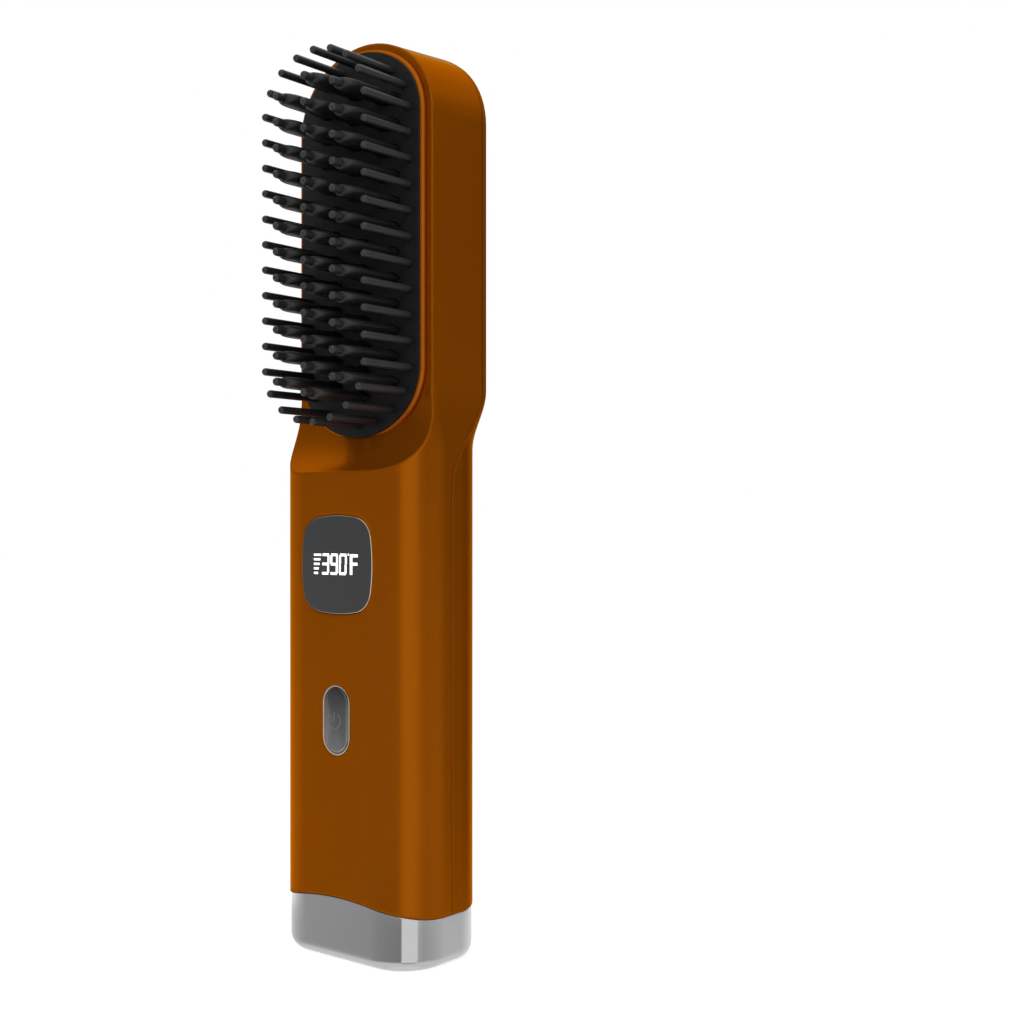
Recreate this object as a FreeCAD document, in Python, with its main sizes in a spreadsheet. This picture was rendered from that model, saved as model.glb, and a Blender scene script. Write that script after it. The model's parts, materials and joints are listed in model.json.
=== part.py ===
import FreeCAD, Part
import math
import os
import re
import Sketcher
from FreeCAD import Placement, Rotation, Vector

# Heated styling brush, cordless, standing on its base. Millimetres, +Z up.
# The origin is the centre of the base on the ground. The bristles face -Y and the back faces +Y.
# The plane Y = 0 is the joint between the two handle shells.

doc = FreeCAD.newDocument("styling_brush")
sheet = doc.addObject("Spreadsheet::Sheet", "sizes")

SIZES = {
    # Handle
    "body_width": 42.0,
    "front_depth": 13.5,
    "back_depth": 12.5,
    "front_corner": 11.0,
    "back_corner": 9.0,
    "wall": 1.8,
    "neck_low": 105.4,
    "neck_wall": 3.0,
    "neck_lead": 4.3,
    "neck_rise": 12.8,
    # Clearances
    "seam_gap": 0.2,
    "slip_gap": 0.15,
    "thread_gap": 0.03,
    "stack_gap": 0.1,
    # Head: the line that the rim pins stand on, and margins outside that line
    "neck_reach": 9.6,
    "pin_half_length": 39.0,
    "corner_inset": 3.85,
    "crown_rise": 2.5,
    "rim_margin": 4.95,
    "rim_depth": 5.0,
    "head_draft": 1.2,
    "head_edge": 1.5,
    "hollow_margin": 3.65,
    "lip_wall": 0.9,
    "lip_height": 1.2,
    "scoop_radius": 16.0,
    "crease_drop": 0.6,
    # Joint line between front shell and rear cover, where it sweeps to the back of the head
    "sweep_lead": 5.0,
    "sweep_rise": 22.0,
    # Base cap
    "seam_crown": 13.8,
    "seam_flank": 10.7,
    "base_inset": 0.25,
    "base_edge": 3.0,
    "base_floor": 1.8,
    "collar_wall": 1.2,
    "collar_top": 17.9,
    "base_screw_side": 6.5,
    "base_screw_back": 7.0,
    "base_post": 5.5,
    "boss_length": 9.8,
    "base_screw_shank": 2.2,
    "base_screw_head": 4.2,
    "base_screw_head_height": 1.5,
    "base_screw_sink": 2.4,
    "base_screw_bite": 7.0,
    # Bristle bed
    "bed_margin": 1.7,
    "bed_gap": 0.05,
    "bed_proud": 1.75,
    "bed_plate": 2.0,
    "bed_skirt": 1.35,
    "flange_margin": 2.1,
    "flange_thick": 1.5,
    "pin_diameter": 1.65,
    "pin_reach": 7.4,
    "pin_root": 1.5,
    "pin_pitch": 5.5,
    # Heated teeth and their cool tips
    "tooth_thick": 2.6,
    "tooth_reach": 7.3,
    "tooth_crown": 3.2,
    "tooth_pitch": 5.5,
    "tooth_end_gap": 6.0,
    "tooth_pin_gap": 2.105,
    "column_gap": 1.57,
    "tip_diameter": 1.75,
    "tip_length": 2.76,
    "tip_sink": 0.22,
    "tip_stem": 1.1,
    "tip_stem_length": 2.5,
    # Heater stack behind the bed
    "plate_side_gap": 1.7,
    "plate_boss_gap": 0.5,
    "heat_plate_corner": 6.0,
    "heat_plate_thick": 2.0,
    "strip_end_gap": 3.0,
    "strip_side_gap": 1.5,
    "strip_middle": 4.0,
    "strip_thick": 1.8,
    "mica_inset": 1.0,
    "mica_thick": 0.5,
    "clamp_lead_gap": 1.9,
    "clamp_inset": 1.8,
    "clamp_end": 2.0,
    "clamp_corner": 3.0,
    "clamp_thick": 1.0,
    "clamp_boss": 3.4,
    "small_shank": 1.6,
    "small_head": 3.4,
    "small_head_height": 1.0,
    "clamp_screw_bite": 4.0,
    "sensor_diameter": 1.6,
    "sensor_length": 6.0,
    "sensor_lift": 12.0,
    "fuse_width": 4.0,
    "fuse_thick": 3.0,
    "fuse_length": 11.0,
    "fuse_drop": 15.0,
    # Display
    "window_width": 21.2,
    "window_corner": 5.2,
    "window_bulge": 36.0,
    "window_thick": 1.2,
    "window_drop": 20.5,
    "window_ledge": 1.7,
    "window_edge": 0.3,
    "module_side_gap": 0.9,
    "module_end_gap": 2.35,
    # Main board
    "board_thick": 1.0,
    "board_side": 6.0,
    "board_top_gap": 1.5,
    "board_boss": 4.0,
    "board_screw_inset": 4.5,
    "board_screw_top": 2.5,
    "board_screw_clear": 5.25,
    "board_screw_bite": 2.6,
    # Power button and its switch
    "button_width": 6.9,
    "button_height": 13.9,
    "button_drop": 33.2,
    "button_proud": 0.55,
    "button_roll": 15.0,
    "button_sweep": 60.0,
    "button_travel": 0.5,
    "button_flange": 1.0,
    "button_flange_thick": 0.7,
    "button_clear": 0.85,
    "press_gap": 0.2,
    "ring_wall": 0.35,
    "ring_depth": 0.8,
    "switch_width": 6.0,
    "switch_thick": 1.0,
    "plunger_diameter": 3.0,
    "plunger_bury": 0.3,
    "switch_floor": 0.15,
    "button_post": 3.0,
    # Battery
    "cell_gap": 0.3,
    "cell_side_gap": 0.75,
    "cell_back_gap": 0.35,
    "cell_board_gap": 0.25,
    "cell_boss_gap": 0.55,
    "cell_head_room": 7.0,
    "cell_edge": 1.0,
    "cradle_plate": 1.2,
    "cradle_side_gap": 2.2,
    "cradle_board_gap": 3.8,
    "cradle_spine": 3.6,
    "tab_thick": 0.2,
    "tab_width": 6.0,
    # Charging inlet and its board
    "charge_board_gap": 0.35,
    "charge_board_width": 22.0,
    "charge_board_depth": 10.0,
    "charge_board_thick": 1.0,
    "charge_board_low": 8.4,
    "charge_post": 4.0,
    "charge_post_inset": 2.2,
    "inlet_width": 8.9,
    "inlet_depth": 3.2,
    "inlet_low": 0.4,
    "inlet_skin": 0.3,
    "inlet_bore": 6.2,
    "tongue_width": 6.7,
    "tongue_thick": 0.7,
    "tongue_length": 4.6,
    # Leads
    "heater_lead": 1.6,
    "heater_lead_inset": 1.8,
    "heater_lead_clear": 1.12,
    "charge_lead": 1.4,
    "charge_lead_side": 1.3,
    "charge_lead_run": 2.6,
}
for row, (alias, value) in enumerate(SIZES.items(), start=1):
    sheet.set(f"A{row}", alias)
    sheet.set(f"B{row}", str(value))
    sheet.setAlias(f"B{row}", alias)
doc.recompute()

# Sizes and places that follow from the sheet, as formulas over its names and over each other.
# Depths count forward from the joint plane, but backward for inner_back, cradle_back, cell_y,
# base_screw_y and head_seam_depth.
DERIVED = {
    # Handle and head
    "half_width": "body_width / 2",
    "inner_front": "front_depth - wall",
    "inner_back": "back_depth - wall",
    "hollow_top": "neck_low - neck_wall",
    "pin_half": "half_width - head_draft - rim_margin",
    "pin_corner": "pin_half - corner_inset",
    "pin_crown": "pin_half + crown_rise",
    "crown_z": "pin_half_length - pin_crown",
    "corner_z": "crown_z + sqrt((pin_crown - pin_corner)^2 - corner_inset^2)",
    "head_centre": "neck_low + neck_reach + pin_half_length",
    "neck_bottom": "neck_low + neck_lead",
    "neck_top": "neck_bottom + neck_rise",
    "neck_passage": "heater_lead_x + heater_lead",
    "scoop_top": "neck_low - crease_drop + sqrt(scoop_radius^2 - (scoop_radius - front_depth + rim_depth)^2)",
    "back_margin": "half_width - pin_half",
    "draft_slope": "head_draft / (rim_depth + back_depth)",
    "draft_secant": "sqrt(1 + draft_slope^2)",
    "rim_inner": "rim_depth - wall",
    "opening_margin": "bed_margin + bed_gap",
    "cover_margin": "opening_margin + lip_wall",
    "head_seam_depth": "back_depth - wall - seam_gap",
    "sweep_low": "neck_low - sweep_lead",
    "sweep_high": "sweep_low + sweep_rise",
    "far": "body_width * 2",
    # Base cap
    "collar_inset": "wall + slip_gap",
    "base_screw_x": "half_width - base_screw_side",
    "base_screw_y": "back_depth - base_screw_back",
    "post_top": "collar_top + seam_gap * 2",
    "boss_low": "post_top + seam_gap",
    # Bristle bed, teeth and tips
    "bed_front": "rim_depth + bed_proud",
    "plate_back": "bed_front - bed_plate",
    "flange_back": "rim_inner - stack_gap - flange_thick",
    "pin_back": "bed_front - pin_root",
    "tooth_width": "(2 * (pin_half - tooth_pin_gap - column_gap) - pin_diameter) / 3",
    "tooth_column": "tooth_width + column_gap",
    "tooth_front": "front_depth + tooth_reach",
    "tip_seat": "tooth_front - tip_sink",
    # Heater stack
    "heat_front": "plate_back - stack_gap",
    "strip_front": "heat_front - heat_plate_thick",
    "mica_front": "strip_front - strip_thick",
    "clamp_front": "mica_front - mica_thick",
    "clamp_back": "clamp_front - clamp_thick",
    "clamp_screw_z": "pin_half_length - clamp_inset",
    "clamp_length": "2 * (clamp_screw_z + clamp_end)",
    "clamp_width": "2 * (heater_lead_x - heater_lead / 2 - clamp_lead_gap)",
    "heat_plate_width": "2 * (pin_half + bed_margin - bed_skirt - plate_side_gap)",
    "heat_plate_length": "2 * (clamp_screw_z - clamp_boss / 2 - plate_boss_gap)",
    "strip_length": "heat_plate_length - 2 * strip_end_gap",
    "strip_width": "heat_plate_width / 2 - strip_side_gap - strip_middle",
    "strip_x": "strip_middle + strip_width / 2",
    "strip_low": "head_centre - strip_length / 2",
    "mica_width": "heat_plate_width - 2 * mica_inset",
    "fuse_z": "head_centre - fuse_drop",
    # Display, button and main board
    "window_z": "neck_low - window_drop",
    "window_reach": "window_bulge - window_width / 2",
    "module_width": "window_width - 2 * (window_ledge + module_side_gap)",
    "module_height": "window_width - 2 * (window_ledge + module_end_gap)",
    "button_z": "window_z - button_drop",
    "ring_width": "button_width + 2 * (slip_gap + ring_wall)",
    "ring_height": "button_height + 2 * (slip_gap + ring_wall)",
    "button_flange_front": "inner_front - stack_gap",
    "plunger_front": "button_flange_front - button_flange_thick - press_gap",
    "switch_front": "plunger_front - button_travel",
    "board_front": "switch_front - switch_thick",
    "board_back": "board_front - board_thick",
    "board_width": "body_width - 2 * board_side",
    "board_screw_low": "button_z - button_height / 2 - button_flange - button_clear - board_boss / 2",
    "board_screw_mid": "button_z + button_height / 2 + button_flange + board_screw_clear + board_boss / 2",
    "board_screw_high": "board_high - board_screw_top",
    "board_low": "board_screw_low - board_screw_inset",
    "board_high": "hollow_top - board_top_gap",
    # Battery: the thickest pair of cells, side by side, that the handle takes
    "cell_width_room": "half_width - wall - cell_side_gap - cell_gap / 2",
    "cell_depth_room": "inner_back + board_back - cell_back_gap - cell_board_gap",
    "cell_diameter": "min(cell_width_room; cell_depth_room)",
    "cell_x": "(cell_diameter + cell_gap) / 2",
    "cell_y": "inner_back - cell_back_gap - cell_diameter / 2",
    "tab_gap": "tab_thick + slip_gap",
    "cell_low": "boss_low + boss_length + cell_boss_gap + cradle_plate + tab_gap",
    "cell_top": "hollow_top - cell_head_room",
    "cradle_half": "half_width - wall - cradle_side_gap",
    "cradle_front": "board_back - cradle_board_gap",
    "cradle_back": "inner_back - 2 * slip_gap",
    # Charging inlet and leads
    "inlet_forward": "front_depth - collar_inset - collar_wall - charge_board_gap - charge_board_depth / 2",
    "inlet_top": "inlet_low + inlet_bore",
    "charge_post_x": "charge_board_width / 2 - charge_post_inset",
    "charge_lead_y": "board_back - charge_lead_run",
    "heater_lead_x": "strip_middle + strip_width - heater_lead_inset",
    "heater_lead_y": "strip_front - strip_thick / 2",
    "bend_low": "cell_top + tab_gap + cradle_plate + heater_lead_clear + heater_lead / 2",
}


def any_name(names):
    return re.compile(r"\b(" + "|".join(sorted(names, key=len, reverse=True)) + r")\b")


SIZE_NAMES = any_name(SIZES)
DERIVED_NAMES = any_name(DERIVED)


def expand(formula):
    """Writes each derived size in a formula out, until only names of the sheet are left."""
    while DERIVED_NAMES.search(formula):
        formula = DERIVED_NAMES.sub(lambda found: f"({DERIVED[found.group()]})", formula)
    return formula


def size(formula):
    value = sheet.evalExpression(expand(formula))
    return float(getattr(value, "Value", value))


def bind(thing, setting, formula):
    thing.setExpression(setting, SIZE_NAMES.sub(r"sizes.\1", expand(formula)))


def new_body(name):
    body = doc.addObject("PartDesign::Body", name)
    body.Label = name
    return body


def new_sketch(body, plane, offset="0"):
    """A sketch on one of the body's own planes, moved along the plane's normal (XZ faces -Y)."""
    sketch = body.newObject("Sketcher::SketchObject", body.Name + "_sketch")
    support = next(item for item in body.Origin.OriginFeatures if item.Role == plane)
    sketch.AttachmentSupport = [(support, "")]
    sketch.MapMode = "FlatFace"
    bind(sketch, "AttachmentOffset.Base.z", offset)
    return sketch


def dimension(sketch, kind, place, formula):
    index = sketch.addConstraint(Sketcher.Constraint(kind, *place, size(formula)))
    bind(sketch, f"Constraints[{index}]", formula)


def relate(sketch, kind, *place):
    sketch.addConstraint(Sketcher.Constraint(kind, *place))


def line(start, end):
    return Part.LineSegment(Vector(*start, 0), Vector(*end, 0))


def arc(centre, radius, first, last):
    circle_of_arc = Part.Circle(Vector(*centre, 0), Vector(0, 0, 1), radius)
    return Part.ArcOfCircle(circle_of_arc, first, last)


def chain(sketch, joints):
    """Joins each curve's end to the next one's start, smoothly where the joint says Tangent."""
    for index, kind in enumerate(joints):
        relate(sketch, kind, index, 2, (index + 1) % len(joints), 1)


def rectangle(sketch, left, right, low, high):
    x0, x1, y0, y1 = size(left), size(right), size(low), size(high)
    corners = [(x0, y0), (x1, y0), (x1, y1), (x0, y1)]
    for index in range(4):
        sketch.addGeometry(line(corners[index], corners[(index + 1) % 4]))
    chain(sketch, ["Coincident"] * 4)
    for index, kind in enumerate(["Horizontal", "Vertical"] * 2):
        relate(sketch, kind, index)
    dimension(sketch, "DistanceX", (-1, 1, 3, 1), left)
    dimension(sketch, "DistanceX", (-1, 1, 1, 1), right)
    dimension(sketch, "DistanceY", (-1, 1, 0, 1), low)
    dimension(sketch, "DistanceY", (-1, 1, 2, 1), high)


def disc(sketch, x, y, diameter):
    index = sketch.addGeometry(Part.Circle(Vector(size(x), size(y), 0), Vector(0, 0, 1), size(diameter) / 2))
    dimension(sketch, "DistanceX", (-1, 1, index, 3), x)
    dimension(sketch, "DistanceY", (-1, 1, index, 3), y)
    dimension(sketch, "Diameter", (index,), diameter)


def rounded_section(sketch, low, high, low_centre, high_centre, low_radius, high_radius):
    """Four-sided outline, symmetric about the sketch's Y axis, with a round at each corner.

    low and high are the two straight ends; the corner centres' distances from the axis set the sides.
    """
    ends = (size(low), size(high))
    radii = (size(low_radius), size(high_radius))
    centres = [Vector(size(low_centre), ends[0] + radii[0]), Vector(size(high_centre), ends[1] - radii[1])]
    span = centres[1] - centres[0]
    along = Vector(span).normalize()
    lean = (radii[0] - radii[1]) / span.Length
    outward = along * lean + Vector(along.y, -along.x) * math.sqrt(1 - lean ** 2)
    angle = math.atan2(outward.y, outward.x)
    right = [centres[0] + outward * radii[0], centres[1] + outward * radii[1]]
    quarter = math.pi / 2
    sketch.addGeometry([
        line((-centres[0].x, ends[0]), (centres[0].x, ends[0])),
        arc((centres[0].x, centres[0].y), radii[0], -quarter, angle),
        line((right[0].x, right[0].y), (right[1].x, right[1].y)),
        arc((centres[1].x, centres[1].y), radii[1], angle, quarter),
        line((centres[1].x, ends[1]), (-centres[1].x, ends[1])),
        arc((-centres[1].x, centres[1].y), radii[1], quarter, math.pi - angle),
        line((-right[1].x, right[1].y), (-right[0].x, right[0].y)),
        arc((-centres[0].x, centres[0].y), radii[0], math.pi - angle, 3 * quarter),
    ])
    chain(sketch, ["Tangent"] * 8)
    relate(sketch, "Horizontal", 0)
    relate(sketch, "Horizontal", 4)
    dimension(sketch, "DistanceY", (-1, 1, 0, 1), low)
    dimension(sketch, "DistanceY", (-1, 1, 4, 1), high)
    for index, radius, centre in ((1, low_radius, low_centre), (3, high_radius, high_centre),
                                  (5, high_radius, f"-({high_centre})"), (7, low_radius, f"-({low_centre})")):
        dimension(sketch, "Radius", (index,), radius)
        dimension(sketch, "DistanceX", (-1, 1, index, 3), centre)


def rounded_rectangle(sketch, width, height, radius, middle):
    centre = f"({width}) / 2 - ({radius})"
    low = f"({middle}) - ({height}) / 2"
    high = f"({middle}) + ({height}) / 2"
    rounded_section(sketch, low, high, centre, centre, radius, radius)


def pill(sketch, width, height, middle):
    """Upright slot shape with fully round ends."""
    radius = size(width) / 2
    reach = f"(({height}) - ({width})) / 2"
    top = size(f"({middle}) + {reach}")
    bottom = size(f"({middle}) - {reach}")
    sketch.addGeometry([
        line((radius, bottom), (radius, top)),
        arc((0, top), radius, 0, math.pi),
        line((-radius, top), (-radius, bottom)),
        arc((0, bottom), radius, math.pi, 2 * math.pi),
    ])
    chain(sketch, ["Tangent"] * 4)
    relate(sketch, "PointOnObject", 1, 3, -2)
    relate(sketch, "PointOnObject", 3, 3, -2)
    relate(sketch, "Vertical", 0)
    dimension(sketch, "Radius", (1,), f"({width}) / 2")
    dimension(sketch, "DistanceY", (-1, 1, 1, 3), f"({middle}) + {reach}")
    dimension(sketch, "DistanceY", (-1, 1, 3, 3), f"({middle}) - {reach}")


def crown_angle():
    """Angle from the upright at which the crown arc of the pin line meets a corner arc."""
    return math.asin(size("corner_inset") / size("pin_crown - pin_corner"))


def head_outline(sketch, margin):
    """The closed outline that the rim pins stand on, moved outwards by a margin."""
    half = size(f"pin_half + {margin}")
    corner = size(f"pin_corner + {margin}")
    crown = size(f"pin_crown + {margin}")
    middle, corner_x = size("head_centre"), size("corner_inset")
    corner_z, crown_z = size("corner_z"), size("crown_z")
    turn, quarter = crown_angle(), math.pi / 2
    sketch.addGeometry([
        line((half, middle - corner_z), (half, middle + corner_z)),
        arc((corner_x, middle + corner_z), corner, 0, quarter - turn),
        arc((0, middle + crown_z), crown, quarter - turn, quarter + turn),
        arc((-corner_x, middle + corner_z), corner, quarter + turn, 2 * quarter),
        line((-half, middle + corner_z), (-half, middle - corner_z)),
        arc((-corner_x, middle - corner_z), corner, 2 * quarter, 3 * quarter - turn),
        arc((0, middle - crown_z), crown, 3 * quarter - turn, 3 * quarter + turn),
        arc((corner_x, middle - corner_z), corner, 3 * quarter + turn, 4 * quarter),
    ])
    chain(sketch, ["Tangent"] * 8)
    for index, side in ((1, 1), (3, -1), (5, -1), (7, 1)):
        dimension(sketch, "Radius", (index,), f"pin_corner + {margin}")
        dimension(sketch, "DistanceX", (-1, 1, index, 3), f"{side} * corner_inset")
    for index, side in ((2, 1), (6, -1)):
        relate(sketch, "PointOnObject", index, 3, -2)
        dimension(sketch, "Radius", (index,), f"pin_crown + {margin}")
        dimension(sketch, "DistanceY", (-1, 1, index, 3), f"head_centre + {side} * crown_z")


def head_arch(sketch, margin):
    """The same outline from the top of the neck upwards, closed by a straight line below."""
    half = size(f"pin_half + {margin}")
    corner = size(f"pin_corner + {margin}")
    crown = size(f"pin_crown + {margin}")
    middle, corner_x, low = size("head_centre"), size("corner_inset"), size("neck_top")
    corner_z, crown_z = size("corner_z"), size("crown_z")
    turn, quarter = crown_angle(), math.pi / 2
    sketch.addGeometry([
        line((-half, low), (half, low)),
        line((half, low), (half, middle + corner_z)),
        arc((corner_x, middle + corner_z), corner, 0, quarter - turn),
        arc((0, middle + crown_z), crown, quarter - turn, quarter + turn),
        arc((-corner_x, middle + corner_z), corner, quarter + turn, 2 * quarter),
        line((-half, middle + corner_z), (-half, low)),
    ])
    chain(sketch, ["Coincident"] + ["Tangent"] * 4 + ["Coincident"])
    relate(sketch, "Horizontal", 0)
    relate(sketch, "Vertical", 1)
    relate(sketch, "Vertical", 5)
    dimension(sketch, "DistanceY", (-1, 1, 0, 1), "neck_top")
    for index, side in ((2, 1), (4, -1)):
        dimension(sketch, "Radius", (index,), f"pin_corner + {margin}")
        dimension(sketch, "DistanceX", (-1, 1, index, 3), f"{side} * corner_inset")
    relate(sketch, "PointOnObject", 3, 3, -2)
    dimension(sketch, "Radius", (3,), f"pin_crown + {margin}")
    dimension(sketch, "DistanceY", (-1, 1, 3, 3), "head_centre + crown_z")


def lens(sketch, width, thickness):
    """Almond outline of two equal arcs about the sketch's origin, its long way along X."""
    half = size(width) / 2
    rise = size(thickness) / 2
    radius = (half ** 2 + rise ** 2) / (2 * rise)
    sweep = math.asin(half / radius)
    quarter = math.pi / 2
    sketch.addGeometry([
        arc((0, rise - radius), radius, quarter - sweep, quarter + sweep),
        arc((0, radius - rise), radius, 3 * quarter - sweep, 3 * quarter + sweep),
    ])
    chain(sketch, ["Coincident"] * 2)
    relate(sketch, "PointOnObject", 0, 1, -1)
    relate(sketch, "PointOnObject", 0, 3, -2)
    relate(sketch, "PointOnObject", 1, 3, -2)
    dimension(sketch, "DistanceX", (-1, 1, 0, 1), f"({width}) / 2")
    bulge = f"((({width}) / 2)^2 + (({thickness}) / 2)^2) / ({thickness})"
    dimension(sketch, "Radius", (0,), bulge)
    dimension(sketch, "Radius", (1,), bulge)


def extrude(feature_type, body, sketch, length, away):
    feature = body.newObject(feature_type, body.Name + "_step")
    feature.Profile = sketch
    feature.Reversed = away
    bind(feature, "Length", length)
    doc.recompute()
    return feature


def pad(body, sketch, length, away=False):
    return extrude("PartDesign::Pad", body, sketch, length, away)


def pocket(body, sketch, length, away=False):
    before = body.Shape.Volume
    feature = extrude("PartDesign::Pocket", body, sketch, length, away)
    if body.Shape.Volume > before - 1e-6:
        raise RuntimeError(f"the pocket in {body.Label} cuts nothing")
    return feature


def loft(body, sketches, ruled):
    feature = body.newObject("PartDesign::AdditiveLoft", body.Name + "_loft")
    feature.Profile = sketches[0]
    feature.Sections = sketches[1:]
    feature.Ruled = ruled
    doc.recompute()
    return feature


def round_edges(body, feature, radius, wanted):
    """Rounds the edges whose every point passes the test."""
    names = []
    for index, edge in enumerate(feature.Shape.Edges, start=1):
        points = edge.discretize(5)
        if all(wanted(point) for point in points):
            names.append(f"Edge{index}")
    fillet = body.newObject("PartDesign::Fillet", body.Name + "_round")
    fillet.Base = (feature, names)
    bind(fillet, "Radius", radius)
    doc.recompute()
    return fillet


def near(value, formula):
    return abs(value - size(formula)) < 1e-4


def boolean(kind, label, base, tool):
    result = doc.addObject(f"Part::{kind}", label)
    result.Label = label
    result.Base = base
    result.Tool = tool
    doc.recompute()
    return result


def merge(label, pieces):
    result = doc.addObject("Part::MultiFuse", label)
    result.Label = label
    result.Shapes = pieces
    doc.recompute()
    return result


def block(label, low, high):
    """A box between two corners, each given as three formulas."""
    result = doc.addObject("Part::Box", label)
    result.Label = label
    for side, axis, start, end in zip(("Length", "Width", "Height"), "xyz", low, high):
        bind(result, side, f"({end}) - ({start})")
        bind(result, f"Placement.Base.{axis}", start)
    doc.recompute()
    return result


def rod(label, diameter, length, start, forward=False):
    """A cylinder from a point, up along +Z, or forward along -Y."""
    result = doc.addObject("Part::Cylinder", label)
    result.Label = label
    bind(result, "Radius", f"({diameter}) / 2")
    bind(result, "Height", length)
    if forward:
        result.Placement = Placement(Vector(), Rotation(Vector(1, 0, 0), 90))
    for axis, formula in zip("xyz", start):
        bind(result, f"Placement.Base.{axis}", formula)
    doc.recompute()
    return result


def group(label, seed, places):
    """Like pieces in one node: a separate copy of the seed's solid at each place."""
    copies = []
    for place in places:
        copy = seed.Shape.copy()
        copy.translate(place)
        copies.append(copy)
    result = doc.addObject("Part::Feature", label)
    result.Label = label
    result.Shape = Part.makeCompound(copies)
    result.Placement = Placement()
    return result


# Outer form of the body: handle prism, neck, drafted head, front scoop and the lip round the bed.

def handle_section(sketch, inset):
    rounded_section(sketch, f"-(front_depth - ({inset}))", f"back_depth - ({inset})",
                    "half_width - front_corner", "half_width - back_corner",
                    f"front_corner - ({inset})", f"back_corner - ({inset})")


def handle_prism(name, inset, low, high):
    body = new_body(name)
    sketch = new_sketch(body, "XY_Plane", low)
    handle_section(sketch, inset)
    pad(body, sketch, f"({high}) - ({low})")
    return body


def between(first, last, share):
    return f"({1 - share} * ({first}) + {share} * ({last}))"


NECK_STEPS = 8
handle_form = handle_prism("handle_form", "0", "0", "neck_bottom")
neck_sketches = []
for step in range(NECK_STEPS + 1):
    climb = step / NECK_STEPS
    share = climb ** 2 * (3 - 2 * climb)
    neck_sketch = new_sketch(handle_form, "XY_Plane", f"neck_bottom + {climb} * neck_rise")
    rounded_section(
        neck_sketch, "-front_depth", "back_depth",
        between("half_width - front_corner",
                "half_width - draft_slope * (back_depth + front_depth - front_corner)"
                " - front_corner * draft_secant", share),
        between("half_width - back_corner", "half_width - head_edge * (draft_slope + draft_secant)", share),
        "front_corner", between("back_corner", "head_edge", share))
    neck_sketches.append(neck_sketch)
loft(handle_form, neck_sketches, False)

head_form = new_body("head_form")
rim_sketch = new_sketch(head_form, "XZ_Plane", "rim_depth")
head_arch(rim_sketch, "rim_margin")
back_sketch = new_sketch(head_form, "XZ_Plane", "-back_depth")
head_arch(back_sketch, "back_margin")
head_loft = loft(head_form, [rim_sketch, back_sketch], True)
round_edges(head_form, head_loft, "head_edge",
            lambda point: near(point.y, "back_depth") and point.z > size("neck_top") - 1e-4
            and (abs(point.x) > size("pin_half") or point.z > size("neck_top") + 1))

scoop = new_body("scoop")
scoop_sketch = new_sketch(scoop, "YZ_Plane", "-far / 2")
rim_y, bend = -size("rim_depth"), size("scoop_radius")
bend_z, far_y, sky = size("scoop_top"), -size("far"), size("head_centre + far")
scoop_sketch.addGeometry([
    line((rim_y, sky), (rim_y, bend_z)),
    arc((rim_y - bend, bend_z), bend, -math.pi / 2, 0),
    line((rim_y - bend, bend_z - bend), (far_y, bend_z - bend)),
    line((far_y, bend_z - bend), (far_y, sky)),
    line((far_y, sky), (rim_y, sky)),
])
relate(scoop_sketch, "Tangent", 0, 2, 1, 2)
relate(scoop_sketch, "Tangent", 1, 1, 2, 1)
for first, second in ((2, 3), (3, 4), (4, 0)):
    relate(scoop_sketch, "Coincident", first, 2, second, 1)
for index, kind in ((0, "Vertical"), (2, "Horizontal"), (3, "Vertical"), (4, "Horizontal")):
    relate(scoop_sketch, kind, index)
dimension(scoop_sketch, "DistanceX", (-1, 1, 0, 1), "-rim_depth")
dimension(scoop_sketch, "Radius", (1,), "scoop_radius")
dimension(scoop_sketch, "DistanceY", (-1, 1, 1, 3), "scoop_top")
dimension(scoop_sketch, "DistanceX", (-1, 1, 3, 1), "-far")
dimension(scoop_sketch, "DistanceY", (-1, 1, 4, 1), "head_centre + far")
pad(scoop, scoop_sketch, "far")


def outline_slab(name, margin, front, back):
    """A slab of the head's outline between two depths, both counted forward from the joint plane."""
    body = new_body(name)
    sketch = new_sketch(body, "XZ_Plane", back)
    head_outline(sketch, margin)
    pad(body, sketch, f"({front}) - ({back})")
    return body


lip = outline_slab("lip", "cover_margin", "rim_depth + lip_height", "rim_inner")
outer_form = boolean("Fuse", "outer_form", handle_form, head_form)
scooped_form = boolean("Cut", "scooped_form", outer_form, scoop)
lipped_form = boolean("Fuse", "lipped_form", scooped_form, lip)

# Hollow inside the two shells, with the bed's opening in front.

handle_hollow = handle_prism("handle_hollow", "wall", "0", "hollow_top")
neck_hollow = block("neck_hollow",
                    ("-neck_passage", "-rim_inner", "hollow_top - wall"),
                    ("neck_passage", "inner_back", "neck_top + wall"))
head_hollow = outline_slab("head_hollow", "hollow_margin", "rim_inner", "-inner_back")
bed_opening = outline_slab("bed_opening", "opening_margin", "rim_depth + lip_height * 2", "rim_inner - wall")
cover_room = outline_slab("cover_room", "(cover_margin + bed_gap)", "front_depth + wall",
                          "rim_depth + lip_height")
hollow = merge("hollow", [handle_hollow, neck_hollow, head_hollow, bed_opening, cover_room])
shell_form = boolean("Cut", "shell_form", lipped_form, hollow)


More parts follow.
